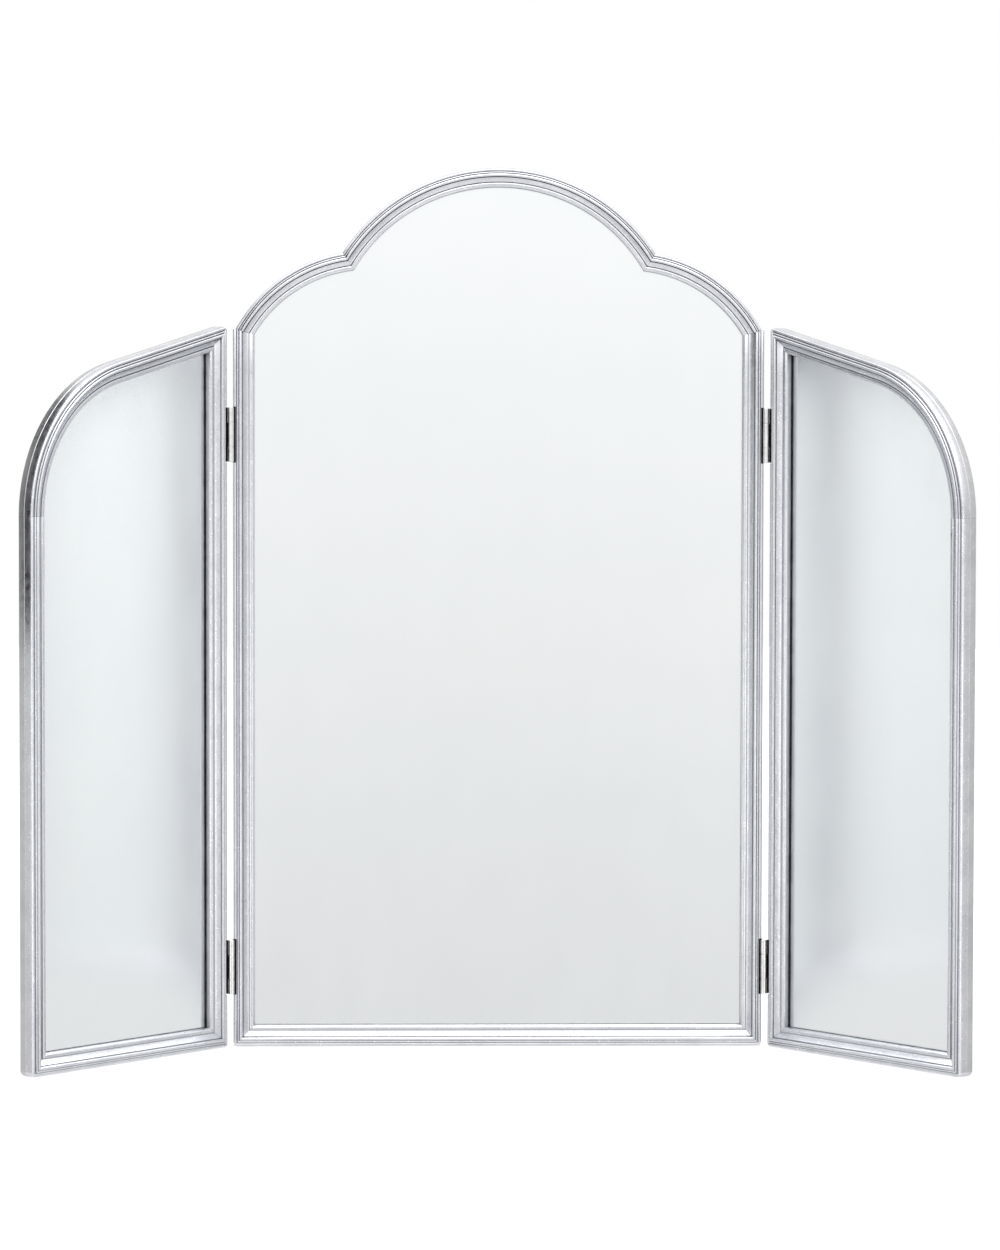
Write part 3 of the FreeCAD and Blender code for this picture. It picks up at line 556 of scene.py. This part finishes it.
def pierced(outline, holes, low, high):
    """A plate between two heights, with round holes (x, y, radius at low, radius at high)."""
    bm = bmesh.new()
    loops = []
    for level, height in ((0, low), (1, high)):
        rings = [loop_of(bm, [(x, y, height) for x, y in outline])]
        for x, y, *radii in holes:
            rings.append(loop_of(bm, circle((x, y), radii[level], HOLE_STEPS, height)))
        edges = [edge for _, ring_edges in rings for edge in ring_edges]
        bmesh.ops.triangle_fill(bm, use_beauty=True, use_dissolve=True, edges=edges,
                                normal=(0, 0, 1))
        loops.append([verts for verts, _ in rings])
    for ring, following in zip(*loops):
        wall(bm, ring, following)
    return bm


def soften(bm, offset, least):
    """Round the edges of a small solid that turn by more than least degrees."""
    bmesh.ops.recalc_face_normals(bm, faces=bm.faces[:])
    sharp = [edge for edge in bm.edges if len(edge.link_faces) == 2
             and edge.calc_face_angle(0) > math.radians(least)]
    bmesh.ops.bevel(bm, geom=sharp, offset=offset, segments=2, affect="EDGES", profile=0.5)


def rounded(corners, radii, steps=4):
    """An outline with each corner rounded to its radius."""
    points = []
    for index, (corner, radius) in enumerate(zip(corners, radii)):
        corner = Vector(corner)
        if not radius:
            points.append(tuple(corner))
            continue
        before = (Vector(corners[index - 1]) - corner).normalized()
        after = (Vector(corners[(index + 1) % len(corners)]) - corner).normalized()
        for step in range(steps + 1):
            turn = step / steps * math.pi / 2
            points.append(tuple(corner + before * radius * (1 - math.sin(turn))
                                + after * radius * (1 - math.cos(turn))))
    return points


def cross_outline(reach, half):
    """A cross-head recess: four arms of the same half width."""
    points = []
    for quarter_turn in range(4):
        turn = Matrix.Rotation(quarter_turn * math.pi / 2, 2)
        for x, y in ((half, half), (half, reach), (-half, reach)):
            points.append(tuple(turn @ Vector((x, y))))
    return points


def screw(head, recess, shank, end):
    """A cross-head screw that points to -Z. head is its profile from the rim of its top face out."""
    bm = bmesh.new()
    reach, half, depth = recess
    radius, top = head[0]
    rim, rim_edges = loop_of(bm, circle((0, 0), radius, SCREW_STEPS, top))
    cross, cross_edges = loop_of(bm, [(x, y, top) for x, y in cross_outline(reach, half)])
    bmesh.ops.triangle_fill(bm, use_beauty=True, use_dissolve=True, edges=rim_edges + cross_edges,
                            normal=(0, 0, 1))
    bottom = [bm.verts.new((x, y, top - depth))
              for x, y in cross_outline(reach * CROSS_FLOOR_REACH, half * CROSS_FLOOR_HALF)]
    wall(bm, cross, bottom)
    bm.faces.new(bottom)
    profile = list(head[1:])
    height = profile[-1][1]
    while height - THREAD_PITCH > end + THREAD_END:
        profile.append((shank * THREAD_ROOT, height - THREAD_PITCH * THREAD_FLANK))
        height -= THREAD_PITCH
        profile.append((shank, height))
    profile.append((shank * THREAD_ROOT, end + TIP_LENGTH))
    ring = rim
    for radius, height in profile:
        following = [bm.verts.new(point) for point in circle((0, 0), radius, SCREW_STEPS, height)]
        wall(bm, ring, following)
        ring = following
    tip = bm.verts.new((0, 0, end))
    for index in range(SCREW_STEPS):
        bm.faces.new((ring[index], ring[(index + 1) % SCREW_STEPS], tip))
    return bm


def countersunk_screw():
    """A hinge's wood screw, with its head's face at the origin."""
    head = [(LEAF_HEAD_RADIUS - LEAF_HEAD_RIM, 0), (LEAF_HEAD_RADIUS, -LEAF_HEAD_RIM),
            (LEAF_SCREW_RADIUS, -LEAF_THICKNESS)]
    return screw(head, LEAF_CROSS, LEAF_SCREW_RADIUS, -LEAF_SCREW_LENGTH)


def pan_head_screw():
    """A clip's screw, with the underside of its head at the origin."""
    head = [(DOME_FLAT, CLIP_HEAD_HEIGHT)]
    head += quarter(head[0], (CLIP_HEAD_RADIUS, DOME_SIDE), DOME_STEPS, False)
    head += [(CLIP_HEAD_RADIUS, DOME_EASE), (CLIP_HEAD_RADIUS - DOME_EASE, 0), (CLIP_SCREW_RADIUS, 0)]
    return screw(head, CLIP_CROSS, CLIP_SCREW_RADIUS, -(CLIP_THICKNESS + CLIP_SCREW_LENGTH))


def clip():
    """A pressed clip that lies on Z = 0 and points to +X, with its hole at the origin."""
    tip = CLIP_LENGTH - CLIP_HOLE_INSET
    half = CLIP_WIDTH / 2
    outline = rounded([(-CLIP_HOLE_INSET, -half), (tip - half / 2, -half), (tip, -half / 2),
                       (tip, half / 2), (tip - half / 2, half), (-CLIP_HOLE_INSET, half)],
                      [CLIP_CORNER, 0, 0, 0, 0, CLIP_CORNER])
    hole = CLIP_SCREW_RADIUS + CLIP_HOLE_PLAY
    plate = pierced(outline, [(0, 0, hole, hole)], 0, CLIP_THICKNESS - RIB_RISE)
    soften(plate, CLIP_EDGE, least=50)
    rib = bmesh.new()
    rib_end = tip - RIB_END_GAP
    rib_outline = rounded([(RIB_START, -RIB_HALF), (rib_end, -RIB_HALF), (rib_end, RIB_HALF),
                           (RIB_START, RIB_HALF)], [RIB_ROUND] * 4)
    low = [rib.verts.new((x, y, RIB_FOOT)) for x, y in rib_outline]
    middle = (RIB_START + rib_end) / 2
    high = [rib.verts.new((middle + (x - middle) * RIB_TOP_LENGTH, y * RIB_TOP_WIDTH, CLIP_THICKNESS))
            for x, y in rib_outline]
    wall(rib, low, high)
    rib.faces.new(low)
    rib.faces.new(high)
    add_shape(plate, rib, Matrix())
    rib.free()
    return plate


# ---------------------------------------------------------------- hinges

def knuckle(low, high):
    """One knuckle of a hinge: a tube round the pin, with eased ends."""
    bore, face = PIN_RADIUS + BORE_PLAY, BARREL_RADIUS - KNUCKLE_EASE
    profile = [(bore, low), (face, low), (BARREL_RADIUS, low + KNUCKLE_EASE),
               (BARREL_RADIUS, high - KNUCKLE_EASE), (face, high), (bore, high)]
    return turned(profile, KNUCKLE_STEPS, True)


def leaf(toward, knuckles, gaps):
    """A hinge leaf in the hinge's own frame. gaps are the stretches the other leaf's knuckles take."""
    end = HINGE_LENGTH / 2
    corners, radii = [(LEAF_DEPTH, end), (LEAF_DEPTH, -end)], [LEAF_CORNER, LEAF_CORNER]
    stops = sorted({-end, end} | {stop for gap in gaps for stop in gap})
    edge = []
    for low, high in zip(stops, stops[1:]):
        root = LEAF_NOTCH if (low, high) in gaps else PIN_RADIUS + LEAF_ROOT_GAP
        edge += [(root, low), (root, high)]
    corners += edge
    radii += [0.0] * len(edge)
    holes = [(LEAF_SCREW_BACK, sign * LEAF_SCREW_OUT, LEAF_HEAD_RADIUS + LEAF_SINK_PLAY,
              LEAF_SCREW_RADIUS + LEAF_HOLE_PLAY) for sign in (-1, 1)]
    plate = pierced(rounded(corners, radii), holes, 0, LEAF_THICKNESS)
    soften(plate, LEAF_EDGE, least=60)
    bm = bmesh.new()
    # the plate's own X runs back from the pin, its Y up, and its Z from the pin into the wood
    place = Matrix(((0, 0, toward, toward * (AXIS_GAP - LEAF_THICKNESS)), (1, 0, 0, 0), (0, 1, 0, 0),
                    (0, 0, 0, 1)))
    add_shape(bm, plate, place)
    plate.free()
    for low, high in knuckles:
        barrel = knuckle(low, high)
        add_shape(bm, barrel, Matrix())
        barrel.free()
    return bm


def pin():
    """A hinge pin, with its two ends domed over the knuckles."""
    end = HINGE_LENGTH / 2 - PIN_INSET
    dome = [(PIN_RADIUS * math.cos(turn), end + PIN_DOME * math.sin(turn))
            for turn in (step / PIN_DOME_STEPS * math.pi / 2 for step in range(PIN_DOME_STEPS))]
    half = dome + [(0, end + PIN_DOME)]
    return turned([(radius, -height) for radius, height in reversed(half)] + half, PIN_STEPS, False)


def build_hinges(materials):
    nickel = materials["nickel"]
    end, middle = HINGE_LENGTH / 2, MIDDLE_KNUCKLE / 2
    slit = middle + KNUCKLE_PLAY
    for name, side in SIDES.items():
        axis = Vector((side * (HALF_WIDTH + AXIS_GAP), -AXIS_FORWARD, 0))
        fixed = Matrix.Translation(axis * MM)
        swung = wing_place(name)
        for height_name, height in HINGE_HEIGHTS.items():
            hinge = f"{name}_{height_name}_hinge"
            rise = Matrix.Translation((0, 0, height * MM))
            frame_leaf = leaf(-side, [(-end, -slit), (slit, end)], [(-slit, slit)])
            wing_leaf = leaf(side, [(-middle, middle)], [(-end, -middle), (middle, end)])
            finish_piece(f"fine_{hinge}_frame_leaf", frame_leaf, nickel, "centre_panel", "nickel",
                         [f"{hinge}_frame_leaf"], fixed @ rise)
            finish_piece(f"fine_{hinge}_wing_leaf", wing_leaf, nickel, f"{name}_wing", "nickel",
                         [f"{hinge}_wing_leaf"], swung @ rise)
            finish_piece(f"fine_{hinge}_pin", pin(), nickel, "centre_panel", "nickel",
                         [f"{hinge}_pin"], fixed @ rise)
        for part, toward, body, place in (("frame", -side, "centre_panel", fixed),
                                          ("wing", side, f"{name}_wing", swung)):
            screws = bmesh.new()
            template = countersunk_screw()
            for height in HINGE_HEIGHTS.values():
                for sign in (-1, 1):
                    # the screw's own -Z runs into the wood
                    turn = Matrix.Rotation(math.radians(-90 * toward), 4, "Y")
                    spot = Matrix.Translation((toward * (AXIS_GAP - LEAF_THICKNESS), LEAF_SCREW_BACK,
                                               height + sign * LEAF_SCREW_OUT))
                    add_shape(screws, template, spot @ turn)
            template.free()
            cad_node = f"{name}_hinge_{part}_screws"
            finish_piece("fine_" + cad_node, screws, nickel, body, "nickel", [cad_node], place)


# ---------------------------------------------------------------- clips and their screws

def centre_clip_spots():
    """Where the clips sit on the centre panel: x, z and the way each points, in degrees."""
    spots = [(sign * HALF_WIDTH / 2, STRIP_WIDTH / 2, 90) for sign in (-1, 1)]
    spots.append((0, CREST_CENTRE[1] + CREST_RADIUS - STRIP_WIDTH / 2, 270))
    centre = (SHOULDER_OUT, SHOULDER_HEIGHT)
    inner = cross_circles(ARC_WIDTH)
    foot = (HALF_WIDTH - MOULDING_WIDTH, shoulder_foot())
    middle = (angle_at(centre, inner) + angle_at(centre, foot)) / 2
    x, z = on_arc(centre, SHOULDER_RADIUS - STRIP_WIDTH / 2, middle)
    for side in SIDES.values():
        stile = side * (HALF_WIDTH - STRIP_WIDTH / 2)
        spots += [(stile, height, 90 + 90 * side) for height in (CLIP_LOW, CLIP_HIGH)]
        spots.append((side * x, z, 270 - side * (90 - math.degrees(middle))))
    return spots


def wing_clip_spots(side):
    """Where the clips sit on a wing, in the wing's own frame."""
    edge = STRIP_WIDTH / 2
    spots = [(WING_WIDTH / 2, edge, 90)]
    spots += [(edge, height, 90 - 90 * side) for height in (CLIP_LOW, CLIP_HIGH)]
    spots += [(WING_WIDTH - edge, height, 90 + 90 * side) for height in (CLIP_LOW, CLIP_MIDDLE)]
    spots.append((CORNER_OUT, WING_TOP - WING_SLOPE * CORNER_OUT - edge * WING_STRETCH,
                  270 - side * math.degrees(WING_TILT)))
    return [(side * (AXIS_GAP + x), z, aim) for x, z, aim in spots]


def build_clips(materials):
    panels = [("centre", "centre_panel", centre_clip_spots(), 0.0, Matrix())]
    for name, side in SIDES.items():
        panels.append((f"{name}_wing", f"{name}_wing", wing_clip_spots(side), AXIS_FORWARD,
                       wing_place(name)))
    clip_shape, screw_shape = clip(), pan_head_screw()
    backward = Matrix.Rotation(-math.pi / 2, 4, "X")
    for panel, body, spots, seam, place in panels:
        clips, screws = bmesh.new(), bmesh.new()
        back = seam + STRIP_THICKNESS
        for number, (x, z, aim) in enumerate(spots):
            spin = Matrix.Rotation(math.radians(-aim), 4, "Y")
            add_shape(clips, clip_shape, Matrix.Translation((x, back, z)) @ spin @ backward)
            turn = Matrix.Rotation(number * SCREW_TURN, 4, "Z")
            add_shape(screws, screw_shape,
                      Matrix.Translation((x, back + CLIP_THICKNESS, z)) @ backward @ turn)
        for part, bm in (("board_clips", clips), ("clip_screws", screws)):
            finish_piece(f"fine_{panel}_{part}", bm, materials["zinc"], body, "zinc",
                         [f"{panel}_{part}"], place)


# ---------------------------------------------------------------- materials

def node(tree, kind, inputs, **settings):
    """Add a node. Each input is given by name or number, as a value or as another node's socket."""
    made = tree.nodes.new(kind)
    for name, value in settings.items():
        setattr(made, name, value)
    for name, value in inputs.items():
        if isinstance(value, bpy.types.NodeSocket):
            tree.links.new(value, made.inputs[name])
        else:
            made.inputs[name].default_value = value
    return made


def noise(tree, vector, scale, detail=2.0, roughness=0.5):
    return node(tree, "ShaderNodeTexNoise", {"Vector": vector, "Scale": scale, "Detail": detail,
                                             "Roughness": roughness}).outputs["Fac"]


def span(tree, value, low, high, to_low=0.0, to_high=1.0):
    """Map a value from one span to another, held at both ends."""
    return node(tree, "ShaderNodeMapRange", {"Value": value, "From Min": low, "From Max": high,
                                             "To Min": to_low, "To Max": to_high}).outputs["Result"]


def opaque(color):
    """A colour as a mix node takes it: a node's socket as it is, or three numbers and an alpha."""
    return color if isinstance(color, bpy.types.NodeSocket) else (*color, 1)


def blended(tree, share, first, second):
    return node(tree, "ShaderNodeMix", {0: share, 6: opaque(first), 7: opaque(second)},
                data_type="RGBA").outputs[2]


def combined(tree, operation, first, second):
    return node(tree, "ShaderNodeMath", {0: first, 1: second}, operation=operation).outputs[0]


def attribute(tree, name):
    return node(tree, "ShaderNodeAttribute", {}, attribute_name=name).outputs["Fac"]


def new_material(name):
    """A material with an empty Principled shader, its tree, the shader and object coordinates."""
    material = bpy.data.materials.new(name)
    material.use_nodes = True
    tree = material.node_tree
    shader = tree.nodes["Principled BSDF"]
    place = node(tree, "ShaderNodeTexCoord", {}).outputs["Object"]
    return material, tree, shader, place


def stretched(tree, place, scale):
    return node(tree, "ShaderNodeMapping", {"Vector": place, "Scale": scale}).outputs["Vector"]


def bumped(tree, shader, height, strength, distance):
    bump = node(tree, "ShaderNodeBump", {"Height": height, "Strength": strength, "Distance": distance})
    tree.links.new(bump.outputs["Normal"], shader.inputs["Normal"])


# the painted shade, near black, in the hinge recesses beside the barrels
RECESS_SHADE_COLOR = (0.012, 0.011, 0.01)


def silver_paint(name, light, dark, shade_mitre_and_grain_color, fleck, gloss):
    """Silver leaf paint: drifting tones, bright flecks and dark mitres, with painted shade in the grooves,
    at the lip and in the hinge recesses.
    """
    material, tree, shader, place = new_material(name)
    shader.inputs["Metallic"].default_value = 1.0
    drift = noise(tree, place, scale=55, detail=3, roughness=0.6)
    color = blended(tree, span(tree, drift, 0.35, 0.65), dark, light)
    # flecks are the brightest grain, and a flake in the middle of some cells
    grain = noise(tree, place, scale=1300, detail=2, roughness=0.7)
    cells = node(tree, "ShaderNodeTexVoronoi", {"Vector": place, "Scale": 420.0}).outputs
    chosen = combined(tree, "GREATER_THAN", cells["Color"], 0.58)
    flakes = combined(tree, "MULTIPLY", chosen, span(tree, cells["Distance"], 0.22, 0.12))
    bright = combined(tree, "MAXIMUM", span(tree, grain, 0.60, 0.72, 0.0, 0.6), flakes)
    color = blended(tree, bright, color, (fleck, fleck, fleck))
    dull = combined(tree, "MULTIPLY", span(tree, grain, 0.40, 0.30), 0.5)
    color = blended(tree, dull, color, shade_mitre_and_grain_color)
    # painted shade in the grooves and on the lip, read from the points
    painted_shade = combined(tree, "MULTIPLY", attribute(tree, "groove_shade"), span(tree, drift, 0.3, 0.6, 0.65, 1.0))
    color = blended(tree, painted_shade, color, shade_mitre_and_grain_color)
    mitre = combined(tree, "MULTIPLY", attribute(tree, "mitre"), 0.6)
    color = blended(tree, mitre, color, shade_mitre_and_grain_color)
    # painted shade, near black, in the hinge recesses
    color = blended(tree, span(tree, attribute(tree, "recess_shade"), 0.05, 0.3), color, RECESS_SHADE_COLOR)
    tree.links.new(color, shader.inputs["Base Color"])
    rough = span(tree, noise(tree, place, scale=240, detail=3), 0.3, 0.7, gloss, gloss + 0.16)
    rough = combined(tree, "ADD", rough, combined(tree, "MULTIPLY", painted_shade, 0.2))
    tree.links.new(rough, shader.inputs["Roughness"])
    relief = combined(tree, "MULTIPLY", grain, 0.35)
    relief = combined(tree, "ADD", relief, noise(tree, place, scale=150, detail=2))
    bumped(tree, shader, relief, strength=0.25, distance=0.0001)
    return material


def mirror_silver():
    """Silvered glass, with faint slanting bands and smears."""
    material, tree, shader, place = new_material("mirror")
    shader.inputs["Metallic"].default_value = 1.0
    slant = node(tree, "ShaderNodeMapping", {"Vector": place, "Rotation": (0, math.radians(38), 0),
                                             "Scale": (1, 1, 5)}).outputs["Vector"]
    bands = noise(tree, slant, scale=2.4, detail=2, roughness=0.4)
    color = blended(tree, span(tree, bands, 0.3, 0.7), (0.958, 0.982, 0.99), (0.972, 0.989, 0.995))
    tree.links.new(color, shader.inputs["Base Color"])
    smears = noise(tree, stretched(tree, place, (1, 1, 0.4)), scale=30, detail=4, roughness=0.6)
    tree.links.new(span(tree, smears, 0.3, 0.7, 0.15, 0.19), shader.inputs["Roughness"])
    return material


def hardboard():
    """Brown hardboard: matted fibres and the print of the press screen."""
    material, tree, shader, place = new_material("hardboard")
    fibres = noise(tree, place, scale=700, detail=5, roughness=0.7)
    flecks = noise(tree, stretched(tree, place, (1, 1, 0.25)), scale=500, detail=3, roughness=0.6)
    color = blended(tree, span(tree, fibres, 0.3, 0.7), (0.165, 0.095, 0.05), (0.30, 0.185, 0.105))
    color = blended(tree, span(tree, flecks, 0.60, 0.70, 0.0, 0.5), color, (0.36, 0.245, 0.15))
    drift = noise(tree, place, scale=14, detail=3)
    color = blended(tree, span(tree, drift, 0.35, 0.65, 0.0, 0.35), color, (0.14, 0.085, 0.05))
    tree.links.new(color, shader.inputs["Base Color"])
    tree.links.new(span(tree, fibres, 0.3, 0.7, 0.62, 0.8), shader.inputs["Roughness"])
    weave = [node(tree, "ShaderNodeTexWave", {"Vector": place, "Scale": 180.0}, bands_direction=way)
             .outputs["Fac"] for way in ("X", "Z")]
    screen = combined(tree, "MULTIPLY", *weave)
    relief = combined(tree, "ADD", screen, combined(tree, "MULTIPLY", fibres, 0.8))
    bumped(tree, shader, relief, strength=0.5, distance=0.0002)
    return material


STAIN_COLOR = (0.32, 0.31, 0.30)


def plated(name, light, dark, gloss, patches):
    """Plated steel: fine draw marks, tones that drift in patches, and small stains."""
    material, tree, shader, place = new_material(name)
    shader.inputs["Metallic"].default_value = 1.0
    drift = noise(tree, place, scale=patches, detail=3, roughness=0.6)
    color = blended(tree, span(tree, drift, 0.35, 0.65), dark, light)
    stains = noise(tree, place, scale=420, detail=4, roughness=0.7)
    color = blended(tree, span(tree, stains, 0.64, 0.74, 0.0, 0.5), color, STAIN_COLOR)
    tree.links.new(color, shader.inputs["Base Color"])
    marks = noise(tree, stretched(tree, place, (1, 1, 0.06)), scale=2600, detail=2, roughness=0.6)
    tree.links.new(span(tree, marks, 0.3, 0.7, gloss, gloss + 0.15), shader.inputs["Roughness"])
    bumped(tree, shader, marks, strength=0.15, distance=0.00005)
    return material


def make_materials():
    return {
        "silver_moulding": silver_paint(
            "silver_moulding", light=(0.665, 0.675, 0.705), dark=(0.595, 0.605, 0.635),
            shade_mitre_and_grain_color=(0.2, 0.2, 0.215), fleck=1.0, gloss=0.26),
        "painted_back": silver_paint(
            "painted_back", light=(0.60, 0.60, 0.61), dark=(0.52, 0.525, 0.535),
            shade_mitre_and_grain_color=(0.26, 0.26, 0.27), fleck=0.75, gloss=0.36),
        "mirror": mirror_silver(),
        "hardboard": hardboard(),
        "zinc": plated("zinc", light=(0.68, 0.70, 0.72), dark=(0.56, 0.58, 0.60), gloss=0.28,
                       patches=260),
        "nickel": plated("nickel", light=(0.78, 0.775, 0.765), dark=(0.68, 0.675, 0.665), gloss=0.2,
                         patches=160),
    }


# ---------------------------------------------------------------- light, stage and camera

CARD_X, CARD_COLOR = -0.45, (0.02, 0.021, 0.023, 1)
CARD_OUTLINE = ((-0.28, 0.3), (-0.12, 0.3), (-0.12, 0.48), (0.12, 0.62), (0.12, 0.78), (-0.28, 0.78))
FLOOR_RADIUS, FLOOR_SEGMENTS, FLOOR_COLOR, FLOOR_GLOW = 6.0, 96, (0.62, 0.62, 0.62, 1), 0.42
IMAGE_HEIGHT_PX, FOCAL_PX, AXIS_ROW_PX = 1250, 3955.3, 620.3
SENSOR_HEIGHT, FAR_CLIP = 36.0, 50
CAMERA_PLACE = (-64.5, -2849.7, 426.6)
CAMERA_YAW, CAMERA_PITCH, CAMERA_ROLL = math.radians(1.3207), math.radians(2.383), math.radians(0.107)


def studio():
    """A white room. The camera sees it plain white. Reflections see it dimmer below the horizon and
    far aside, and brighter just aside, straight below and high up in front."""
    world = bpy.data.worlds.new("studio")
    bpy.context.scene.world = world
    world.use_nodes = True
    tree = world.node_tree
    way = node(tree, "ShaderNodeTexCoord", {}).outputs["Generated"]
    x, y, z = node(tree, "ShaderNodeSeparateXYZ", {"Vector": way}).outputs
    horizon = span(tree, z, -0.16, 0.08, 0.70, 0.985)
    rearward = combined(tree, "SUBTRACT", y, combined(tree, "MULTIPLY", z, 0.7))
    in_front = span(tree, rearward, -0.45, -0.2, 1.0, 0.0)
    above = combined(tree, "MULTIPLY", span(tree, z, 0.10, 0.6), in_front)
    below = span(tree, z, -0.22, -0.7, 0.0, 0.4)
    level = combined(tree, "ADD", horizon, combined(tree, "ADD", above, below))
    aside = combined(tree, "ABSOLUTE", x, 0)
    dimmed = combined(tree, "MULTIPLY", span(tree, aside, 0.45, 0.75, 0.0, -1.0),
                      span(tree, z, -0.08, 0.02, 0.08, 0.34))
    sideways = combined(tree, "ADD", span(tree, aside, 0.09, 0.28, 1.0, 1.16), dimmed)
    level = combined(tree, "MULTIPLY", level, sideways)
    seen = node(tree, "ShaderNodeLightPath", {}).outputs["Is Camera Ray"]
    strength = node(tree, "ShaderNodeMix", {0: seen, 2: level, 3: 1.0}).outputs[0]
    background = tree.nodes["Background"]
    background.inputs["Color"].default_value = (1, 1, 1, 1)
    tree.links.new(strength, background.inputs["Strength"])


def lamp(name, size, power, place, target):
    """A rectangular lamp that shines from its place towards the target, unseen by the camera."""
    data = bpy.data.lights.new(name, "AREA")
    data.shape = "RECTANGLE"
    data.size, data.size_y = size
    data.energy = power
    obj = bpy.data.objects.new(name, data)
    bpy.context.scene.collection.objects.link(obj)
    obj.location = place
    obj.rotation_euler = (Vector(target) - Vector(place)).to_track_quat("-Z", "Y").to_euler()
    obj.visible_camera = False


def stage_piece(name, bm, color):
    """Put a matt mesh on the stage, and return it with its material's tree and shader."""
    mesh = bpy.data.meshes.new(name)
    bm.to_mesh(mesh)
    bm.free()
    obj = bpy.data.objects.new(name, mesh)
    bpy.context.scene.collection.objects.link(obj)
    material, tree, shader, _ = new_material(name)
    mesh.materials.append(material)
    shader.inputs["Base Color"].default_value = color
    shader.inputs["Roughness"].default_value = 1.0
    shader.inputs["Specular IOR Level"].default_value = 0.0
    return obj, tree, shader


def dark_card():
    """A black card beside the left wing's upper half, which the camera sees only in reflections."""
    bm = bmesh.new()
    bm.faces.new([bm.verts.new((CARD_X, y, z)) for y, z in CARD_OUTLINE])
    obj, _, _ = stage_piece("dark_card", bm, CARD_COLOR)
    obj.visible_camera = False
    obj.visible_diffuse = False
    obj.visible_shadow = False


def floor():
    """A pale floor that reaches white under the lamps and keeps the object's shadow."""
    bm = bmesh.new()
    bmesh.ops.create_circle(bm, cap_ends=True, segments=FLOOR_SEGMENTS, radius=FLOOR_RADIUS)
    obj, tree, shader = stage_piece("floor", bm, FLOOR_COLOR)
    shader.inputs["Emission Color"].default_value = (1, 1, 1, 1)
    seen = node(tree, "ShaderNodeLightPath", {}).outputs["Is Camera Ray"]
    tree.links.new(combined(tree, "MULTIPLY", seen, FLOOR_GLOW), shader.inputs["Emission Strength"])
    obj.visible_glossy = False


def camera():
    """A long-lens camera at the middle panel's height, turned a little aside and tipped down."""
    data = bpy.data.cameras.new("camera")
    data.sensor_fit = "VERTICAL"
    data.sensor_height = SENSOR_HEIGHT
    data.lens = FOCAL_PX / IMAGE_HEIGHT_PX * SENSOR_HEIGHT
    data.shift_y = (AXIS_ROW_PX - IMAGE_HEIGHT_PX / 2) / IMAGE_HEIGHT_PX
    data.clip_end = FAR_CLIP
    ahead = Vector((math.sin(CAMERA_YAW), math.cos(CAMERA_YAW), 0))
    right = Vector((math.cos(CAMERA_YAW), -math.sin(CAMERA_YAW), 0))
    upright = Vector((0, 0, 1))
    forward = ahead * math.cos(CAMERA_PITCH) - upright * math.sin(CAMERA_PITCH)
    up = ahead * math.sin(CAMERA_PITCH) + upright * math.cos(CAMERA_PITCH)
    across = right * math.cos(CAMERA_ROLL) + up * math.sin(CAMERA_ROLL)
    above = up * math.cos(CAMERA_ROLL) - right * math.sin(CAMERA_ROLL)
    obj = bpy.data.objects.new("camera", data)
    bpy.context.scene.collection.objects.link(obj)
    place = Matrix((across, above, -forward)).transposed().to_4x4()
    place.translation = Vector(CAMERA_PLACE) * MM
    obj.matrix_world = place
    bpy.context.scene.camera = obj


materials = make_materials()
build_members(materials)
build_panes(materials)
build_hinges(materials)
build_clips(materials)
studio()
lamp("top_light", size=(1.6, 1.0), power=14, place=(0.2, -0.7, 2.0), target=(0, 0, 0.4))
for name, side in SIDES.items():
    lamp(f"{name}_low_light", size=(0.7, 0.55), power=1.6, place=(side * 0.86, -1.23, 0.08),
         target=(0, 0, 0.15))
dark_card()
floor()
camera()
bpy.context.scene.view_settings.view_transform = "Standard"
